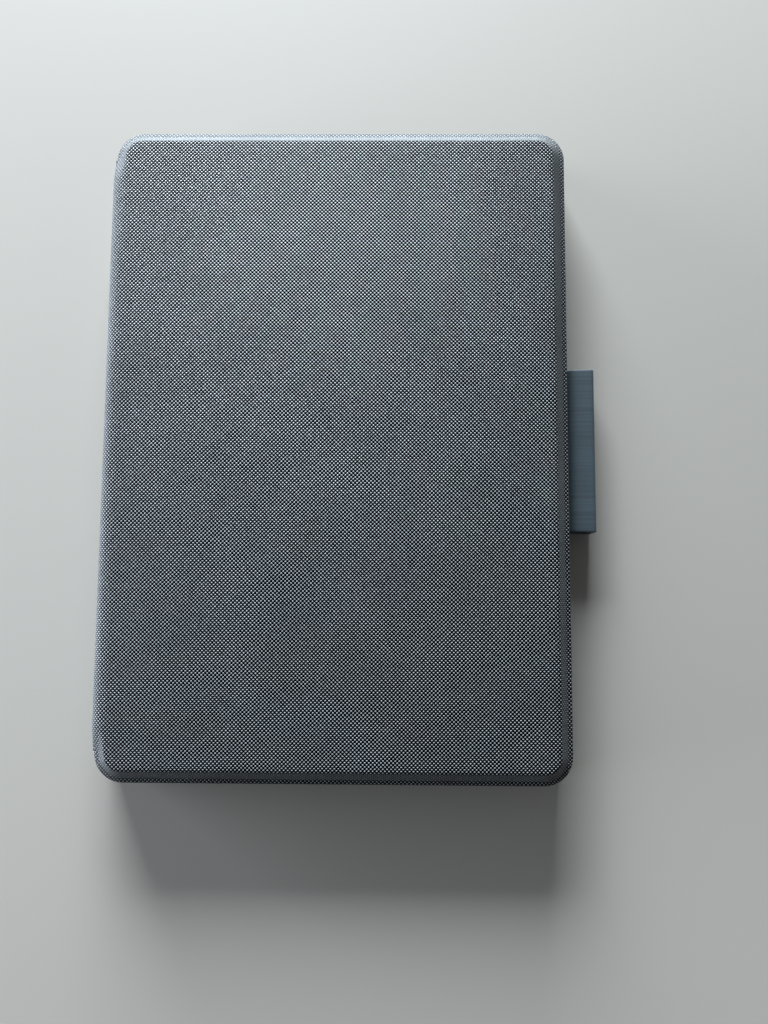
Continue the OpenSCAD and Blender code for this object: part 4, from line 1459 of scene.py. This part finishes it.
@dataclass
class KeyboardBody:
    """The keyboard's housings, docking groove and grip strip."""

    deck_round: float = 0.3
    web_round: float = 0.2
    chassis_round: float = 0.3
    rib_count: int = 7
    rib_h: float = 0.22
    rib_steps: int = 8
    grip_rows: int = 81
    grip_ramp: float = 1.2
    grip_sharp_deg: float = 40

    def build(self) -> None:
        """Makes the housings and the grip strip."""
        for node, name, width in (("keyboard_deck", "deck_moulding", self.deck_round),
                                  ("key_frame", "key_frame_moulding", self.web_round),
                                  ("keyboard_chassis", "chassis_moulding", self.chassis_round)):
            housing = softened(node, name, width)
            dress(housing, MOULDED_ABS.material(), "keyboard_half")
        self.build_grip()

    def build_grip(self) -> None:
        """Makes the ribbed rubber strip in the groove.

        Its section is a flat back and a face whose height is the square of a sine across the
        strip, which makes even ribs; it is carried along Y and its ends fall to the back.
        """
        low, high = box_mm("dock_grip_strip")
        across = np.linspace(0, 1, self.rib_steps * self.rib_count + 1)
        along = np.linspace(0, 1, self.grip_rows)
        x = low[0] + (high[0] - low[0]) * across
        y = low[1] + (high[1] - low[1]) * along
        wave = self.rib_h * np.sin(math.pi * self.rib_count * across) ** 2
        end = np.minimum(along, 1 - along) * (high[1] - low[1])
        ramp = smooth_step(end / self.grip_ramp)[:, None]
        face_z = low[2] + self.rib_h - wave[None, :] * ramp
        rows, columns = len(along), len(across)
        face = np.stack([np.broadcast_to(x, (rows, columns)),
                         np.broadcast_to(y[:, None], (rows, columns)), face_z], -1)
        back = face[:, ::-1].copy()
        back[..., 2] = high[2]
        section = np.concatenate([face, back], 1)
        piece = make_piece("grip_strip", section.reshape(-1, 3), tube_faces(rows, 2 * columns))
        weld(piece)
        piece.data.set_sharp_from_angle(angle=math.radians(self.grip_sharp_deg))
        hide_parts("dock_grip_strip")
        dress(piece, MOULDED_RUBBER.material(), "keyboard_half")


@dataclass
class BatteryDrawer:
    """The drawer that pulls out of the keyboard's short side, and its two coin cells."""

    drawer_round: float = 0.25
    rim_r: float = 0.5
    cap_in: float = 1.1
    cap_slope: float = 0.3
    cap_r: float = 0.2
    crimp_drop: float = 0.35
    crimp_r: float = 0.12
    cell_turns: int = 64

    def build(self) -> None:
        """Makes the drawer and the cells."""
        drawer = softened("battery_drawer", "drawer_moulding", self.drawer_round)
        dress(drawer, MOULDED_ABS.material(), "battery_drawer")
        for number, (low, high) in enumerate(solid_boxes("coin_cells"), 1):
            self.build_cell(number, low, high)

    def build_cell(self, number: int, low: np.ndarray, high: np.ndarray) -> None:
        """Makes one coin cell: a can with a rounded rim, crimped over a raised cap.

        Args:
            number: which cell.
            low: its lowest corner.
            high: its highest corner.
        """
        centre = (low + high) / 2
        r = (high[0] - low[0]) / 2
        crimp = high[2] - self.crimp_drop
        corners = [(0, low[2]), (r, low[2]), (r, crimp), (r - self.cap_in, crimp),
                   (r - self.cap_in - self.cap_slope, high[2]), (0, high[2])]
        profile = rounded_path(corners, [self.rim_r, self.rim_r, self.crimp_r, self.cap_r])
        cell = lathe(profile, (centre[0], centre[1]), self.cell_turns, f"coin_cell_{number}")
        if number == 1:
            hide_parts("coin_cells")
        dress(cell, BRUSHED_STAINLESS.material(), "battery_drawer")


@dataclass
class HiddenParts:
    """CAD nodes whose shape is right, each with its finish."""

    finishes: dict = field(default_factory=lambda: {
        "main_board": PRESSED_BOARD, "stand_board": PRESSED_BOARD, "spine_board": PRESSED_BOARD,
        "tray_adhesive": ACRYLIC_FILM, "tray_steel_strip": ROLLED_STEEL,
        "top_cover_shell": MOULDED_TPU, "key_backing_plate": ROLLED_STEEL,
        "key_membrane": PRINTED_POLYESTER, "controller_board": SOLDER_MASK,
        "ribbon_cable": POLYIMIDE_FILM, "status_light": MILKY_POLYCARBONATE,
        "dock_magnets": PLATED_NICKEL, "closing_magnets": PLATED_NICKEL,
        "chassis_screws": ROLLED_STEEL, "battery_contacts": GOLD_FLASH})

    def build(self) -> None:
        """Gives each node its material through the object's own slots."""
        for name, finish in self.finishes.items():
            node = frame["nodes"][name]
            for place in node.material_slots:
                place.link = "OBJECT"
                place.material = finish.material()
            LOG.info("%s keeps its shape, %s", name, finish.name)


# ---------------------------------------------------------------- studio


@dataclass(frozen=True)
class SoftLight:
    """An area light that looks at the case. Place and size are in metres, power in watts."""

    name: str
    at: tuple[float, float, float]
    size: tuple[float, float]
    power: float
    colour: str

    def build(self) -> None:
        """Makes the light."""
        data = bpy.data.lights.new(self.name, "AREA")
        data.shape = "RECTANGLE"
        data.size, data.size_y = self.size
        data.energy = self.power
        data.color = linear(self.colour)[:3]
        light = bpy.data.objects.new(self.name, data)
        light.location = self.at
        light.rotation_mode = "QUATERNION"
        light.rotation_quaternion = (-Vector(self.at)).to_track_quat("-Z", "Y")
        bpy.context.scene.collection.objects.link(light)


# Late daylight: a low window beyond the case's +Y end and a low strip of window on its left.
WINDOW = SoftLight("window", (-0.3, 2.1, 0.56), (1.2, 0.8), 200.0, "#eaf4fb")
SIDE_WINDOW = SoftLight("side_window", (-1.5, 0.2, 0.2), (1.6, 0.34), 50.0, "#e4ebf8")


@dataclass
class Studio:
    """The floor, the soft lights and the camera.

    The floor's half width is in metres, the camera's place in millimetres, its turn in degrees
    and its lens, sensor and nearest sight as Blender takes them.
    """

    floor_half: float = 3.0
    floor_colour: str = "#b4b0a9"
    floor_roughness: float = 0.7
    camera_at: tuple[float, float, float] = (22.2, -53.9, 320.4)
    camera_turn: tuple[float, float, float] = (5.368, 0.641, 0.356)
    lens: float = 27.73
    sensor: float = 36.0
    nearest: float = 0.01
    room_colour: str = "#dfe4ea"
    room_strength: float = 0.16

    def build(self) -> None:
        """Makes the stage."""
        self.build_floor()
        self.build_camera()
        for light in (WINDOW, SIDE_WINDOW):
            light.build()
        world = bpy.data.worlds.new("soft_room")
        world.use_nodes = True
        ground = world.node_tree.nodes["Background"]
        ground.inputs["Color"].default_value = linear(self.room_colour)
        ground.inputs["Strength"].default_value = self.room_strength
        bpy.context.scene.world = world
        bpy.context.scene.view_settings.view_transform = "Standard"

    def build_floor(self) -> None:
        """Makes the plain pale floor."""
        half = self.floor_half / MM
        corners = np.array([(-half, -half, 0), (half, -half, 0), (half, half, 0), (-half, half, 0)])
        floor = make_piece("floor", corners, [[0, 1, 2, 3]])
        matt = bpy.data.materials.new("plain_floor")
        matt.use_nodes = True
        shader = matt.node_tree.nodes["Principled BSDF"]
        shader.inputs["Base Color"].default_value = linear(self.floor_colour)
        shader.inputs["Roughness"].default_value = self.floor_roughness
        floor.data.materials.append(matt)

    def build_camera(self) -> None:
        """Makes the camera, almost straight above and tilted a little towards +Y."""
        data = bpy.data.cameras.new("view")
        data.lens = self.lens
        data.sensor_width = self.sensor
        data.clip_start = self.nearest
        camera = bpy.data.objects.new("view", data)
        camera.location = Vector(self.camera_at) * MM
        camera.rotation_euler = np.radians(self.camera_turn)
        bpy.context.scene.collection.objects.link(camera)
        bpy.context.scene.camera = camera


def hinge_line(joint: str) -> tuple[float, float]:
    """A hinge's place across the case.

    Args:
        joint: the joint's name.

    Returns:
        Its x and z in millimetres.
    """
    found = next(j for j in frame["joints"] if j["name"] == joint)
    return found["pos_m"][0] / MM, found["pos_m"][2] / MM


def main() -> None:
    """Builds the stage and every sub-assembly."""
    logging.basicConfig(level=logging.INFO, format="%(message)s")
    Studio().build()
    upper, lower = hinge_line("cover_fold"), hinge_line("spine_fold")
    covers = Covers(upper, lower)
    covers.build()
    Spine(upper, lower, covers).build()
    StylusLoop().build()
    TabletTray().build()
    KeyboardBody().build()
    KeySet().build()
    BatteryDrawer().build()
    HiddenParts().build()


if __name__ == "__main__":
    main()
